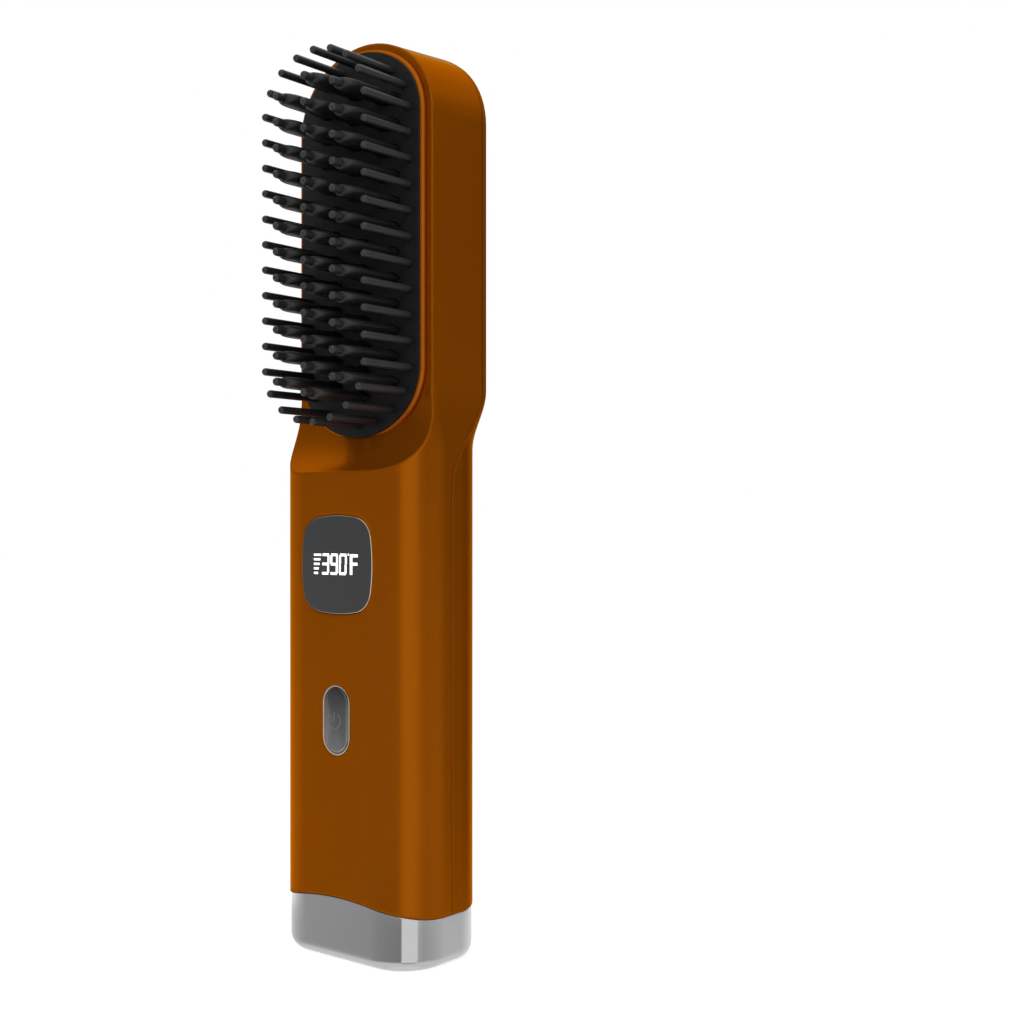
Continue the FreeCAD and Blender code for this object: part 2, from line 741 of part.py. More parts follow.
def front_zone(name, shift):
    """All that lies in front of the joint between the shells, which sweeps back behind the head."""
    body = new_body(name)
    sketch = new_sketch(body, "YZ_Plane", "-far / 2")
    handle_y = size(shift)
    head_y = size(f"head_seam_depth + {shift}")
    low, high, far = size("sweep_low"), size("sweep_high"), size("far")
    bottom, top = -far, size("head_centre") + far
    step, climb = head_y - handle_y, high - low
    radius = (step ** 2 + climb ** 2) / (4 * step)
    turn = math.atan2(climb / 2, step / 2 - radius)
    sketch.addGeometry([
        line((-far, bottom), (handle_y, bottom)),
        line((handle_y, bottom), (handle_y, low)),
        arc((handle_y + radius, low), radius, turn, math.pi),
        arc((head_y - radius, high), radius, turn - math.pi, 0),
        line((head_y, high), (head_y, top)),
        line((head_y, top), (-far, top)),
        line((-far, top), (-far, bottom)),
    ])
    for first, first_end, second, second_end in ((0, 2, 1, 1), (4, 2, 5, 1), (5, 2, 6, 1), (6, 2, 0, 1)):
        relate(sketch, "Coincident", first, first_end, second, second_end)
    for first, first_end, second, second_end in ((1, 2, 2, 2), (2, 1, 3, 1), (3, 2, 4, 1)):
        relate(sketch, "Tangent", first, first_end, second, second_end)
    for index in (0, 5):
        relate(sketch, "Horizontal", index)
    for index in (1, 4, 6):
        relate(sketch, "Vertical", index)
    relate(sketch, "Equal", 2, 3)
    dimension(sketch, "DistanceX", (-1, 1, 1, 1), shift)
    dimension(sketch, "DistanceX", (-1, 1, 4, 1), f"head_seam_depth + {shift}")
    dimension(sketch, "DistanceY", (-1, 1, 1, 2), "sweep_low")
    dimension(sketch, "DistanceY", (-1, 1, 4, 1), "sweep_high")
    dimension(sketch, "DistanceX", (-1, 1, 6, 1), "-far")
    dimension(sketch, "DistanceY", (-1, 1, 0, 1), "-far")
    dimension(sketch, "DistanceY", (-1, 1, 5, 1), "head_centre + far")
    pad(body, sketch, "far")
    return body


def base_zone(name, lift):
    """All that lies below the arched joint between the shells and the base cap."""
    body = new_body(name)
    sketch = new_sketch(body, "XZ_Plane", "-far / 2")
    half, far = size("half_width"), size("far")
    flank = size(f"seam_flank + {lift}")
    rise = size("seam_crown - seam_flank")
    radius = (half ** 2 + rise ** 2) / (2 * rise)
    sweep = math.asin(half / radius)
    quarter = math.pi / 2
    sketch.addGeometry([
        line((-far, -far), (far, -far)),
        line((far, -far), (far, flank)),
        line((far, flank), (half, flank)),
        arc((0, flank + rise - radius), radius, quarter - sweep, quarter + sweep),
        line((-half, flank), (-far, flank)),
        line((-far, flank), (-far, -far)),
    ])
    chain(sketch, ["Coincident"] * 6)
    for index, kind in enumerate(["Horizontal", "Vertical", "Horizontal"]):
        relate(sketch, kind, index)
    relate(sketch, "Horizontal", 4)
    relate(sketch, "Vertical", 5)
    relate(sketch, "PointOnObject", 3, 3, -2)
    dimension(sketch, "DistanceX", (-1, 1, 2, 2), "half_width")
    dimension(sketch, "DistanceX", (-1, 1, 1, 1), "far")
    dimension(sketch, "DistanceX", (-1, 1, 5, 2), "-far")
    dimension(sketch, "DistanceY", (-1, 1, 0, 1), "-far")
    dimension(sketch, "DistanceY", (-1, 1, 2, 2), f"seam_flank + {lift}")
    rise_text = "(seam_crown - seam_flank)"
    dimension(sketch, "Radius", (3,), f"((half_width)^2 + {rise_text}^2) / (2 * {rise_text})")
    pad(body, sketch, "far")
    return body


front_half = boolean("Common", "front_half", shell_form, front_zone("front_zone", "0"))
rear_half = boolean("Cut", "rear_half", shell_form, front_zone("front_and_gap", "seam_gap"))
below_shells = base_zone("below_shells", "seam_gap")
front_cut = boolean("Cut", "front_cut", front_half, below_shells)
rear_cut = boolean("Cut", "rear_cut", rear_half, below_shells)

# Front shell: bosses for the main board, seats for the window and the button ring.

BOARD_SCREWS = ("board_screw_low", "board_screw_mid", "board_screw_high")
board_bosses = []
board_bores = []
for index, height in enumerate(BOARD_SCREWS):
    boss_length = "front_depth - wall / 2 - board_front"
    board_bosses.append(rod(f"board_boss_{index}", "board_boss", boss_length,
                            ("0", "-board_front", height), True))
    board_bores.append(rod(f"board_bore_{index}", "small_shank + 2 * thread_gap",
                           "board_screw_bite + thread_gap", ("0", "-board_front", height), True))


def rounded_slab(name, width, height, corner, front, back, middle):
    body = new_body(name)
    sketch = new_sketch(body, "XZ_Plane", back)
    rounded_rectangle(sketch, width, height, corner, middle)
    pad(body, sketch, f"({front}) - ({back})")
    return body


def pill_slab(name, width, height, front, back):
    body = new_body(name)
    sketch = new_sketch(body, "XZ_Plane", back)
    pill(sketch, width, height, "button_z")
    pad(body, sketch, f"({front}) - ({back})")
    return body


def window_slab(name, margin, front, back):
    """A slab of the window's outline moved outwards by a margin: four flat arcs with round corners."""
    body = new_body(name)
    sketch = new_sketch(body, "XZ_Plane", back)
    middle, side = size("window_z"), size(f"window_bulge + {margin}")
    reach = size("window_reach")
    span = size("window_bulge - window_corner")
    place = (math.sqrt(2 * span ** 2 - reach ** 2) - reach) / 2
    turn, quarter = math.atan2(place, place + reach), math.pi / 2
    for index in range(4):
        facing = index * quarter
        across, up = round(math.cos(facing)), round(math.sin(facing))
        sketch.addGeometry(arc((-reach * across, middle - reach * up), side, facing - turn, facing + turn))
        sketch.addGeometry(arc((place * (across - up), middle + place * (across + up)),
                               size(f"window_corner + {margin}"), facing + turn, facing + quarter - turn))
    chain(sketch, ["Tangent"] * 8)
    for index in range(0, 8, 2):
        dimension(sketch, "Radius", (index,), f"window_bulge + {margin}")
        dimension(sketch, "Radius", (index + 1,), f"window_corner + {margin}")
    for index, sign in ((0, -1), (4, 1)):
        dimension(sketch, "DistanceX", (-1, 1, index, 3), f"{sign} * window_reach")
        dimension(sketch, "DistanceY", (-1, 1, index, 3), "window_z")
    for index, sign in ((2, -1), (6, 1)):
        relate(sketch, "PointOnObject", index, 3, -2)
        dimension(sketch, "DistanceY", (-1, 1, index, 3), f"window_z + {sign} * window_reach")
    pad(body, sketch, f"({front}) - ({back})")
    return body


window_seat = window_slab("window_seat", "slip_gap", "front_depth + wall",
                          "front_depth - window_thick - stack_gap / 2")
window_hole = window_slab("window_hole", "(-window_ledge)", "front_depth + wall", "inner_front - wall")
ring_seat = pill_slab("ring_seat", "ring_width + 2 * thread_gap", "ring_height + 2 * thread_gap",
                      "front_depth + wall", "front_depth - ring_depth")
button_hole = pill_slab("button_hole", "button_width + 2 * slip_gap", "button_height + 2 * slip_gap",
                        "front_depth + wall", "inner_front - wall")
front_bossed = merge("front_bossed", [front_cut] + board_bosses)
front_holes = merge("front_holes", board_bores + [window_seat, window_hole, ring_seat, button_hole])
front_shell = boolean("Cut", "front_shell", front_bossed, front_holes)

# Rear cover: two corner bosses that the base screws bite into.

rear_blocks = []
rear_bores = []
for side, sign in (("right", 1), ("left", -1)):
    edges = sorted((f"{sign} * (base_screw_x - base_post / 2)", f"{sign} * half_width"), key=size)
    corner_block = block(f"corner_block_{side}", (edges[0], "base_screw_y - base_post / 2", "boss_low"),
                         (edges[1], "back_depth", "boss_low + boss_length"))
    rear_blocks.append(boolean("Common", f"corner_boss_{side}", corner_block, handle_form))
    rear_bores.append(rod(f"corner_bore_{side}", "base_screw_shank + 2 * thread_gap",
                          "base_screw_bite + thread_gap",
                          (f"{sign} * base_screw_x", "base_screw_y", "boss_low")))
rear_bossed = merge("rear_bossed", [rear_cut] + rear_blocks)
rear_cover = boolean("Cut", "rear_cover", rear_bossed, merge("rear_holes", rear_bores))

# Base cap: metal-look cup with a collar that goes up inside the shells and two screw posts.

base_outer = handle_prism("base_outer", "base_inset", "0", "seam_crown + wall")
base_pad = base_outer.Tip
round_edges(base_outer, base_pad, "base_edge", lambda point: near(point.z, "0"))
base_cup = boolean("Common", "base_cup", base_outer, base_zone("base_below", "0"))
base_collar = handle_prism("base_collar", "collar_inset", "base_floor", "collar_top")
base_body = boolean("Fuse", "base_body", base_cup, base_collar)
base_room = handle_prism("base_room", "collar_inset + collar_wall", "base_floor", "collar_top + wall")
base_shell = boolean("Cut", "base_shell", base_body, base_room)
base_posts = []
base_bores = []
screw_places = []
for side, sign in (("right", 1), ("left", -1)):
    place_x = f"{sign} * base_screw_x"
    base_posts.append(rod(f"screw_post_{side}", "base_post", "post_top - base_floor / 2",
                          (place_x, "base_screw_y", "base_floor / 2")))
    base_posts.append(rod(f"charge_post_{side}", "charge_post", "charge_board_low - base_floor / 2",
                          (f"{sign} * charge_post_x", "-inlet_forward", "base_floor / 2")))
    base_bores.append(rod(f"post_bore_{side}", "base_screw_shank + 2 * slip_gap", "post_top + wall",
                          (place_x, "base_screw_y", "-wall / 2")))
    base_bores.append(rod(f"post_sink_{side}", "base_screw_head + 2 * slip_gap", "base_screw_sink + wall",
                          (place_x, "base_screw_y", "-wall")))
    screw_places.append(Vector(size(place_x), size("base_screw_y"), size("base_screw_sink")))
inlet_cut = new_body("inlet_cut")
inlet_sketch = new_sketch(inlet_cut, "XY_Plane", "-wall")
rounded_rectangle(inlet_sketch, "inlet_width + 2 * slip_gap", "inlet_depth + 2 * slip_gap",
                  "inlet_depth / 2 - slip_gap", "-inlet_forward")
pad(inlet_cut, inlet_sketch, "base_floor + 2 * wall")
base_posted = merge("base_posted", [base_shell] + base_posts)
base_cap = boolean("Cut", "base_cap", base_posted, merge("base_holes", base_bores + [inlet_cut]))

screw_shank = rod("base_shank", "base_screw_shank", "boss_low - base_screw_sink + base_screw_bite",
                  ("0", "0", "0"))
screw_head = rod("base_head", "base_screw_head", "base_screw_head_height",
                 ("0", "0", "-base_screw_head_height"))
base_screws = group("base_screws", merge("base_screw", [screw_shank, screw_head]), screw_places)

# Bristle bed: a black plate whose edge covers the lip, with a skirt that snaps behind the rim by a
# small bead, slots for the heated teeth, blind holes for the rim pins and two bosses for the clamp screws.

bed_plate = outline_slab("bed_plate", "bed_margin", "bed_front", "flange_back")
bed_cover = outline_slab("bed_cover", "cover_margin", "bed_front", "rim_depth + lip_height + bed_gap")
bed_flange = outline_slab("bed_flange", "flange_margin", "rim_inner - stack_gap", "flange_back")
bed_room = outline_slab("bed_room", "(bed_margin - bed_skirt)", "plate_back", "flange_back - wall")
bed_shell = boolean("Cut", "bed_shell", merge("bed_solid", [bed_plate, bed_cover, bed_flange]), bed_room)
clamp_bosses = []
clamp_bores = []
clamp_places = []
for name, sign in (("top", 1), ("bottom", -1)):
    height = f"head_centre + {sign} * clamp_screw_z"
    clamp_bosses.append(rod(f"clamp_boss_{name}", "clamp_boss",
                            "plate_back - clamp_front + bed_plate / 2",
                            ("0", "-clamp_front", height), True))
    clamp_bores.append(rod(f"clamp_bore_{name}", "small_shank + 2 * thread_gap",
                           "clamp_screw_bite + thread_gap", ("0", "-clamp_front", height), True))
    clamp_places.append(Vector(0, -size("clamp_back"), size(height)))

ROUNDING_SLACK = 1e-6
middle_teeth = math.floor(size("2 * (pin_half_length - tooth_end_gap) / tooth_pitch") + ROUNDING_SLACK) + 1
side_teeth = middle_teeth - 1
tooth_columns = [("0", middle_teeth), ("tooth_column", side_teeth), ("-tooth_column", side_teeth)]
tooth_places = []
for column, teeth in tooth_columns:
    for index in range(teeth):
        height = size("head_centre") + (index - (teeth - 1) / 2) * size("tooth_pitch")
        tooth_places.append(Vector(size(column), 0, height))


def lens_slab(name, width, thickness, front, back):
    body = new_body(name)
    sketch = new_sketch(body, "XZ_Plane", back)
    lens(sketch, width, thickness)
    pad(body, sketch, f"({front}) - ({back})")
    return body


slot = lens_slab("tooth_slot", "tooth_width + 4 * slip_gap", "tooth_thick + 2 * slip_gap",
                 "bed_front + wall", "plate_back - stack_gap")
slots = group("tooth_slots", slot, tooth_places)


def pin_line_point(distance):
    """Point of the pin line at a distance along it from its top, to the right."""
    crown, corner, turn = size("pin_crown"), size("pin_corner"), crown_angle()
    crown_length = crown * turn
    corner_length = corner * (math.pi / 2 - turn)
    if distance <= crown_length:
        angle = distance / crown
        return crown * math.sin(angle), size("crown_z") + crown * math.cos(angle)
    if distance <= crown_length + corner_length:
        angle = turn + (distance - crown_length) / corner
        return size("corner_inset") + corner * math.sin(angle), size("corner_z") + corner * math.cos(angle)
    return size("pin_half"), size("corner_z") - (distance - crown_length - corner_length)


side_pins = round(size("2 * corner_z / pin_pitch")) + 1
side_half = (side_pins - 1) / 2 * size("pin_pitch")
end_length = (size("pin_crown") * crown_angle() + size("pin_corner") * (math.pi / 2 - crown_angle())
              + size("corner_z") - side_half)
pin_places = []
for index in range(side_pins):
    height = index * size("pin_pitch") - side_half
    for sign in (1, -1):
        pin_places.append((sign * size("pin_half"), height))
end_steps = round(end_length / size("pin_pitch"))
for index in range(end_steps):
    x, height = pin_line_point(index * end_length / end_steps)
    for sign_x in (1, -1) if index else (1,):
        for sign_z in (1, -1):
            pin_places.append((sign_x * x, sign_z * height))
pin_places = [Vector(x, 0, size("head_centre") + height) for x, height in pin_places]

pin_hole = rod("pin_hole", "pin_diameter + 2 * thread_gap", "pin_root + wall + thread_gap",
               ("0", "-(pin_back - thread_gap)", "0"), True)
pin_holes = group("pin_holes", pin_hole, pin_places)
bed_bossed = merge("bed_bossed", [bed_shell] + clamp_bosses)
bed_cutters = merge("bed_cutters", [slots, pin_holes] + clamp_bores)
bristle_frame = boolean("Cut", "bristle_frame", bed_bossed, bed_cutters)


def round_pin(name, diameter, front, back):
    """A round pin along -Y, from a depth behind to a domed end in front."""
    shank = rod(f"{name}_shank", diameter, f"({front}) - ({diameter}) / 2 - ({back})",
                ("0", f"-({back})", "0"), True)
    dome = doc.addObject("Part::Sphere", f"{name}_dome")
    bind(dome, "Radius", f"({diameter}) / 2")
    bind(dome, "Placement.Base.y", f"-(({front}) - ({diameter}) / 2)")
    doc.recompute()
    return merge(name, [shank, dome])


rim_pin = round_pin("rim_pin", "pin_diameter", "front_depth + pin_reach", "pin_back")
rim_pins = group("rim_pins", rim_pin, pin_places)

# Heated teeth: almond fins with a rounded end, each bored for the stem of its cool tip.

CROWN_TURNS = (0, 15, 30, 45, 60, 70)
CROWN_TAPER = 0.2
fin = new_body("fin")
fin_sketch = new_sketch(fin, "XZ_Plane", "heat_front")
lens(fin_sketch, "tooth_width", "tooth_thick")
pad(fin, fin_sketch, "tooth_front - tooth_crown - heat_front")
crown_sketches = []
for degrees in CROWN_TURNS:
    rise = math.sin(math.radians(degrees)) / math.sin(math.radians(CROWN_TURNS[-1]))
    narrow = math.cos(math.radians(degrees))
    crown_sketch = new_sketch(fin, "XZ_Plane", f"tooth_front - {1 - rise} * tooth_crown")
    lens(crown_sketch, f"{narrow} * tooth_width", f"{narrow ** CROWN_TAPER} * tooth_thick")
    crown_sketches.append(crown_sketch)
loft(fin, crown_sketches, False)
stem_bore = rod("stem_bore", "tip_stem + 2 * thread_gap", "tip_stem_length + tooth_thick",
                ("0", "-(tip_seat - tip_stem_length - thread_gap)", "0"), True)
tip_seat = rod("tip_seat", "tip_diameter + 2 * thread_gap", "tooth_thick", ("0", "-tip_seat", "0"), True)
tooth = boolean("Cut", "tooth", fin, boolean("Fuse", "tooth_cut", stem_bore, tip_seat))
heating_teeth = group("heating_teeth", tooth, tooth_places)

tip_head = round_pin("tip_head", "tip_diameter", "tooth_front + tip_length", "tip_seat")
tip_root = rod("tip_root", "tip_stem", "tip_stem_length",
               ("0", "-(tip_seat - tip_stem_length)", "0"), True)
cool_tips = group("cool_tips", merge("cool_tip", [tip_head, tip_root]), tooth_places)

# Heater stack: plate that carries the teeth, ceramic strips, mica sheet and clamp plate.

heat_plate = rounded_slab("heat_plate", "heat_plate_width", "heat_plate_length", "heat_plate_corner",
                           "heat_front", "strip_front", "head_centre")
strip = block("heater_strip", ("-strip_width / 2", "-strip_front", "head_centre - strip_length / 2"),
              ("strip_width / 2", "-mica_front", "head_centre + strip_length / 2"))
strip_places = [Vector(sign * size("strip_x"), 0, 0) for sign in (1, -1)]
heater_strips = group("heater_strips", strip, strip_places)
mica_sheet = block("mica_sheet", ("-mica_width / 2", "-mica_front", "head_centre - strip_length / 2"),
                   ("mica_width / 2", "-clamp_front", "head_centre + strip_length / 2"))
clamp_form = rounded_slab("clamp_form", "clamp_width", "clamp_length", "clamp_corner",
                           "clamp_front", "clamp_back", "head_centre")
clamp_holes = []
for name, sign in (("top", 1), ("bottom", -1)):
    height = f"head_centre + {sign} * clamp_screw_z"
    clamp_holes.append(rod(f"clamp_hole_{name}", "small_shank + 2 * slip_gap", "2 * clamp_thick",
                           ("0", "-(clamp_back - clamp_thick / 2)", height), True))
clamp_plate = boolean("Cut", "clamp_plate", clamp_form, merge("clamp_cut", clamp_holes))


def small_screw(name, length):
    """A small pan-head screw pointing forward along -Y, its head's seat at the origin."""
    shank = rod(f"{name}_shank", "small_shank", length, ("0", "0", "0"), True)
    head = rod(f"{name}_head", "small_head", "small_head_height", ("0", "small_head_height", "0"), True)
    return merge(name, [shank, head])


clamp_screw = small_screw("clamp_screw", "clamp_thick + clamp_screw_bite")
clamp_screws = group("clamp_screws", clamp_screw, clamp_places)
temperature_sensor = rod("temperature_sensor", "sensor_diameter", "sensor_length",
                         ("0", "-(strip_front - strip_thick / 2)", "head_centre + sensor_lift"))
thermal_fuse = block("thermal_fuse", ("-fuse_width / 2", "-clamp_back", "fuse_z - fuse_length / 2"),
                     ("fuse_width / 2", "-clamp_back + fuse_thick", "fuse_z + fuse_length / 2"))

# Display: glossy window flush in the front shell, and the digit module on the board behind it.

window_body = window_slab("display_window", "0", "front_depth", "front_depth - window_thick")
round_edges(window_body, window_body.Tip, "window_edge", lambda point: near(point.y, "-front_depth"))
display_module = rounded_slab("display_module", "module_width", "module_height", "window_edge",
                               "front_depth - window_thick - stack_gap", "board_front", "window_z")

# Main board on the front shell's bosses, with its screws, and the switch that stands on it.

board_body = new_body("board_blank")
board_sketch = new_sketch(board_body, "XZ_Plane", "board_back")
rectangle(board_sketch, "-board_width / 2", "board_width / 2", "board_low", "board_high")
pad(board_body, board_sketch, "board_thick")
board_holes = []
board_screw_places = []
for index, height in enumerate(BOARD_SCREWS):
    board_holes.append(rod(f"board_hole_{index}", "small_shank + 2 * slip_gap", "2 * board_thick",
                           ("0", "-(board_back - board_thick / 2)", height), True))
    board_screw_places.append(Vector(0, -size("board_back"), size(height)))
main_board = boolean("Cut", "main_board", board_body, merge("board_cut", board_holes))
board_screws = group("board_screws", small_screw("board_screw", "board_thick + board_screw_bite"),
                     board_screw_places)

switch_block = block("switch_block", ("-switch_width / 2", "-switch_front", "button_z - switch_width / 2"),
                     ("switch_width / 2", "-board_front", "button_z + switch_width / 2"))
switch_well = rod("switch_well", "plunger_diameter + 2 * slip_gap", "switch_thick",
                  ("0", "-(board_front + switch_floor)", "button_z"), True)
switch_body = boolean("Cut", "switch_body", switch_block, switch_well)
switch_plunger = rod("switch_plunger", "plunger_diameter", "button_travel + plunger_bury",
                     ("0", "-(switch_front - plunger_bury)", "button_z"), True)

# Power button: a metal-look pill, crowned both ways, that slides in the shell and is held in by its
# flange, and its trim ring.

button_cap = pill_slab("button_cap", "button_width", "button_height",
                       "front_depth + button_proud", "button_flange_front")
button_roll = rod("button_roll", "2 * button_roll", "2 * button_height",
                  ("0", "-(front_depth + button_proud - button_roll)", "button_z - button_height"))
button_sweep = new_body("button_sweep")
sweep_sketch = new_sketch(button_sweep, "YZ_Plane", "-button_width")
disc(sweep_sketch, "-(front_depth + button_proud - button_sweep)", "button_z", "2 * button_sweep")
pad(button_sweep, sweep_sketch, "2 * button_width")
button_rolled = boolean("Common", "button_rolled", button_cap, button_roll)
button_crowned = boolean("Common", "button_crowned", button_rolled, button_sweep)
button_flange = pill_slab("button_flange_slab", "button_width + 2 * button_flange",
                          "button_height + 2 * button_flange", "button_flange_front",
                          "button_flange_front - button_flange_thick")
button_stub = rod("button_stub", "button_post", "button_flange_front - plunger_front",
                  ("0", "-plunger_front", "button_z"), True)
power_button = merge("power_button", [button_crowned, button_flange, button_stub])
ring_outer = pill_slab("ring_outer", "ring_width", "ring_height", "front_depth", "front_depth - ring_depth")
ring_inner = pill_slab("ring_inner", "button_width + 2 * slip_gap", "button_height + 2 * slip_gap",
                       "front_depth + wall", "front_depth - ring_depth - wall")
button_ring = boolean("Cut", "button_ring", ring_outer, ring_inner)

# Battery: two cells side by side, the cradle that spaces them and the welded tabs.

cell_form = new_body("cell_form")
cell_sketch = new_sketch(cell_form, "XY_Plane", "cell_low")
disc(cell_sketch, "0", "cell_y", "cell_diameter")
cell_pad = pad(cell_form, cell_sketch, "cell_top - cell_low")
round_edges(cell_form, cell_pad, "cell_edge",
            lambda point: near(point.z, "cell_low") or near(point.z, "cell_top"))
cell_places = [Vector(sign * size("cell_x"), 0, 0) for sign in (1, -1)]
battery_cells = group("battery_cells", cell_form, cell_places)
cradle_ends = []
for name, low in (("low", "cell_low - tab_gap - cradle_plate"), ("high", "cell_top + tab_gap")):
    end_plate = new_body(f"cradle_{name}")
    end_sketch = new_sketch(end_plate, "XY_Plane", low)
    rounded_section(end_sketch, "-cradle_front", "cradle_back", "cradle_half - cell_edge",
                    "half_width - back_corner", "cell_edge", "back_corner - wall - 2 * slip_gap")
    pad(end_plate, end_sketch, "cradle_plate")
    cradle_ends.append(end_plate)
cradle_spine = block("cradle_spine", ("-cradle_spine", "cell_y + cell_diameter / 4", "cell_low - tab_gap"),
                     ("cradle_spine", "cradle_back", "cell_top + tab_gap"))
cell_room = rod("cell_room", "cell_diameter + 2 * slip_gap", "cell_top - cell_low + 2 * wall",
                ("0", "cell_y", "cell_low - wall"))
cell_rooms = group("cell_rooms", cell_room, cell_places)
spine_cut = boolean("Cut", "spine_cut", cradle_spine, cell_rooms)
battery_cradle = merge("battery_cradle", cradle_ends + [spine_cut])
top_tab = block("top_tab", ("-cell_x - tab_width / 2", "cell_y - tab_width / 2", "cell_top"),
                ("cell_x + tab_width / 2", "cell_y + tab_width / 2", "cell_top + tab_thick"))
foot_tab = block("foot_tab", ("-tab_width / 2", "cell_y - tab_width / 2", "cell_low - tab_thick"),
                 ("tab_width / 2", "cell_y + tab_width / 2", "cell_low"))
foot_tabs = group("foot_tabs", foot_tab, cell_places)
battery_tabs = merge("battery_tabs", [top_tab, foot_tabs])

# Charging inlet: socket through the base's floor, on its own board across the base.

inlet_form = new_body("inlet_form")
inlet_outer = new_sketch(inlet_form, "XY_Plane", "inlet_low")
rounded_rectangle(inlet_outer, "inlet_width", "inlet_depth", "inlet_depth / 2 - slip_gap", "-inlet_forward")
pad(inlet_form, inlet_outer, "charge_board_low - inlet_low")
inlet_room = new_sketch(inlet_form, "XY_Plane", "inlet_low")
rounded_rectangle(inlet_room, "inlet_width - 2 * inlet_skin", "inlet_depth - 2 * inlet_skin",
                  "inlet_depth / 2 - slip_gap - inlet_skin", "-inlet_forward")
pocket(inlet_form, inlet_room, "inlet_bore", True)
inlet_tongue = block("inlet_tongue",
                     ("-tongue_width / 2", "-inlet_forward - tongue_thick / 2",
                      "inlet_top - tongue_length"),
                     ("tongue_width / 2", "-inlet_forward + tongue_thick / 2",
                      "inlet_top + inlet_skin"))
charging_inlet = merge("charging_inlet", [inlet_form, inlet_tongue])
charge_board = block("charge_board",
                     ("-charge_board_width / 2", "-inlet_forward - charge_board_depth / 2",
                      "charge_board_low"),
                     ("charge_board_width / 2", "-inlet_forward + charge_board_depth / 2",
                      "charge_board_low + charge_board_thick"))


# Leads: round wires on straight runs joined by arcs.

BEND_SHARE = 0.45
VOLUME_SLACK = 0.02


def lead(name, x, diameter, points):
    """One wire in a plane of constant X, through corner points (Y, Z) rounded as wide as the runs allow."""
    corners = [Vector(size(x), size(y), size(z)) for y, z in points]
    edges = []
    start = corners[0]
    for before, corner, after in zip(corners, corners[1:], corners[2:]):
        incoming = before - corner
        outgoing = after - corner
        reach = BEND_SHARE * min(incoming.Length, outgoing.Length)
        incoming.normalize()
        outgoing.normalize()
        turn = math.pi - incoming.getAngle(outgoing)
        radius = reach / math.tan(turn / 2)
        bisector = (incoming + outgoing).normalize()
        middle = corner + bisector * (radius / math.cos(turn / 2) - radius)
        arc_start = corner + incoming * reach
        arc_end = corner + outgoing * reach
        edges.append(Part.LineSegment(start, arc_start).toShape())
        edges.append(Part.Arc(arc_start, middle, arc_end).toShape())
        start = arc_end
    edges.append(Part.LineSegment(start, corners[-1]).toShape())
    path = Part.Wire(edges)
    section = Part.Wire(Part.makeCircle(size(diameter) / 2, corners[0], corners[1] - corners[0]))
    tube = path.makePipeShell([section], True, False)
    expected = math.pi * (size(diameter) / 2) ** 2 * path.Length
    if abs(tube.Volume / expected - 1) > VOLUME_SLACK:
        raise RuntimeError(f"{name}: the tube's volume is off its section times its length")
    return tube


def leads(label, x, diameter, points):
    """A pair of wires, one on each side of the middle."""
    result = doc.addObject("Part::Feature", label)
    result.Label = label
    result.Shape = Part.makeCompound([lead(label, f"{sign} * {x}", diameter, points) for sign in (1, -1)])
    result.Placement = Placement()
    return result


heater_leads = leads("heater_leads", "heater_lead_x", "heater_lead", [
    ("-heater_lead_y", "strip_low"),
    ("-heater_lead_y", "strip_low - heater_lead"),
    ("wall * 2", "strip_low - 5 * heater_lead"),
    ("wall * 2", "bend_low + 4 * heater_lead"),
    ("-wall", "bend_low"),
    ("-board_back", "bend_low"),
])
charge_leads = leads("charge_leads", "charge_lead_side", "charge_lead", [
    ("-charge_lead_y", "charge_board_low + charge_board_thick"),
    ("-charge_lead_y", "board_low + charge_lead"),
    ("-board_back", "board_low + charge_lead"),
])

NODES = [
    front_shell, rear_cover, base_cap, base_screws,
    bristle_frame, rim_pins, heating_teeth, cool_tips,
    heat_plate, heater_strips, mica_sheet, clamp_plate, clamp_screws,
    temperature_sensor, thermal_fuse, heater_leads,
    window_body, display_module, main_board, board_screws,
    power_button, button_ring, switch_body, switch_plunger,
    battery_cells, battery_cradle, battery_tabs,
    charging_inlet, charge_board, charge_leads,
]

doc.recompute()
for item in doc.Objects:
    if "Invalid" in item.State or "Error" in item.State:
        raise RuntimeError(f"{item.Label} failed: {item.State}")
for node in NODES:
    if node.Shape.isNull() or not node.Shape.isValid():
        raise RuntimeError(f"{node.Label} has no valid shape")

os.makedirs("parts", exist_ok=True)
for node in NODES:
    node.Shape.exportStep(f"parts/{node.Label}.step")
    print(f"{node.Label}: {len(node.Shape.Solids)} solids, {node.Shape.Volume:.1f} mm3")
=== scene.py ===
import json
import math

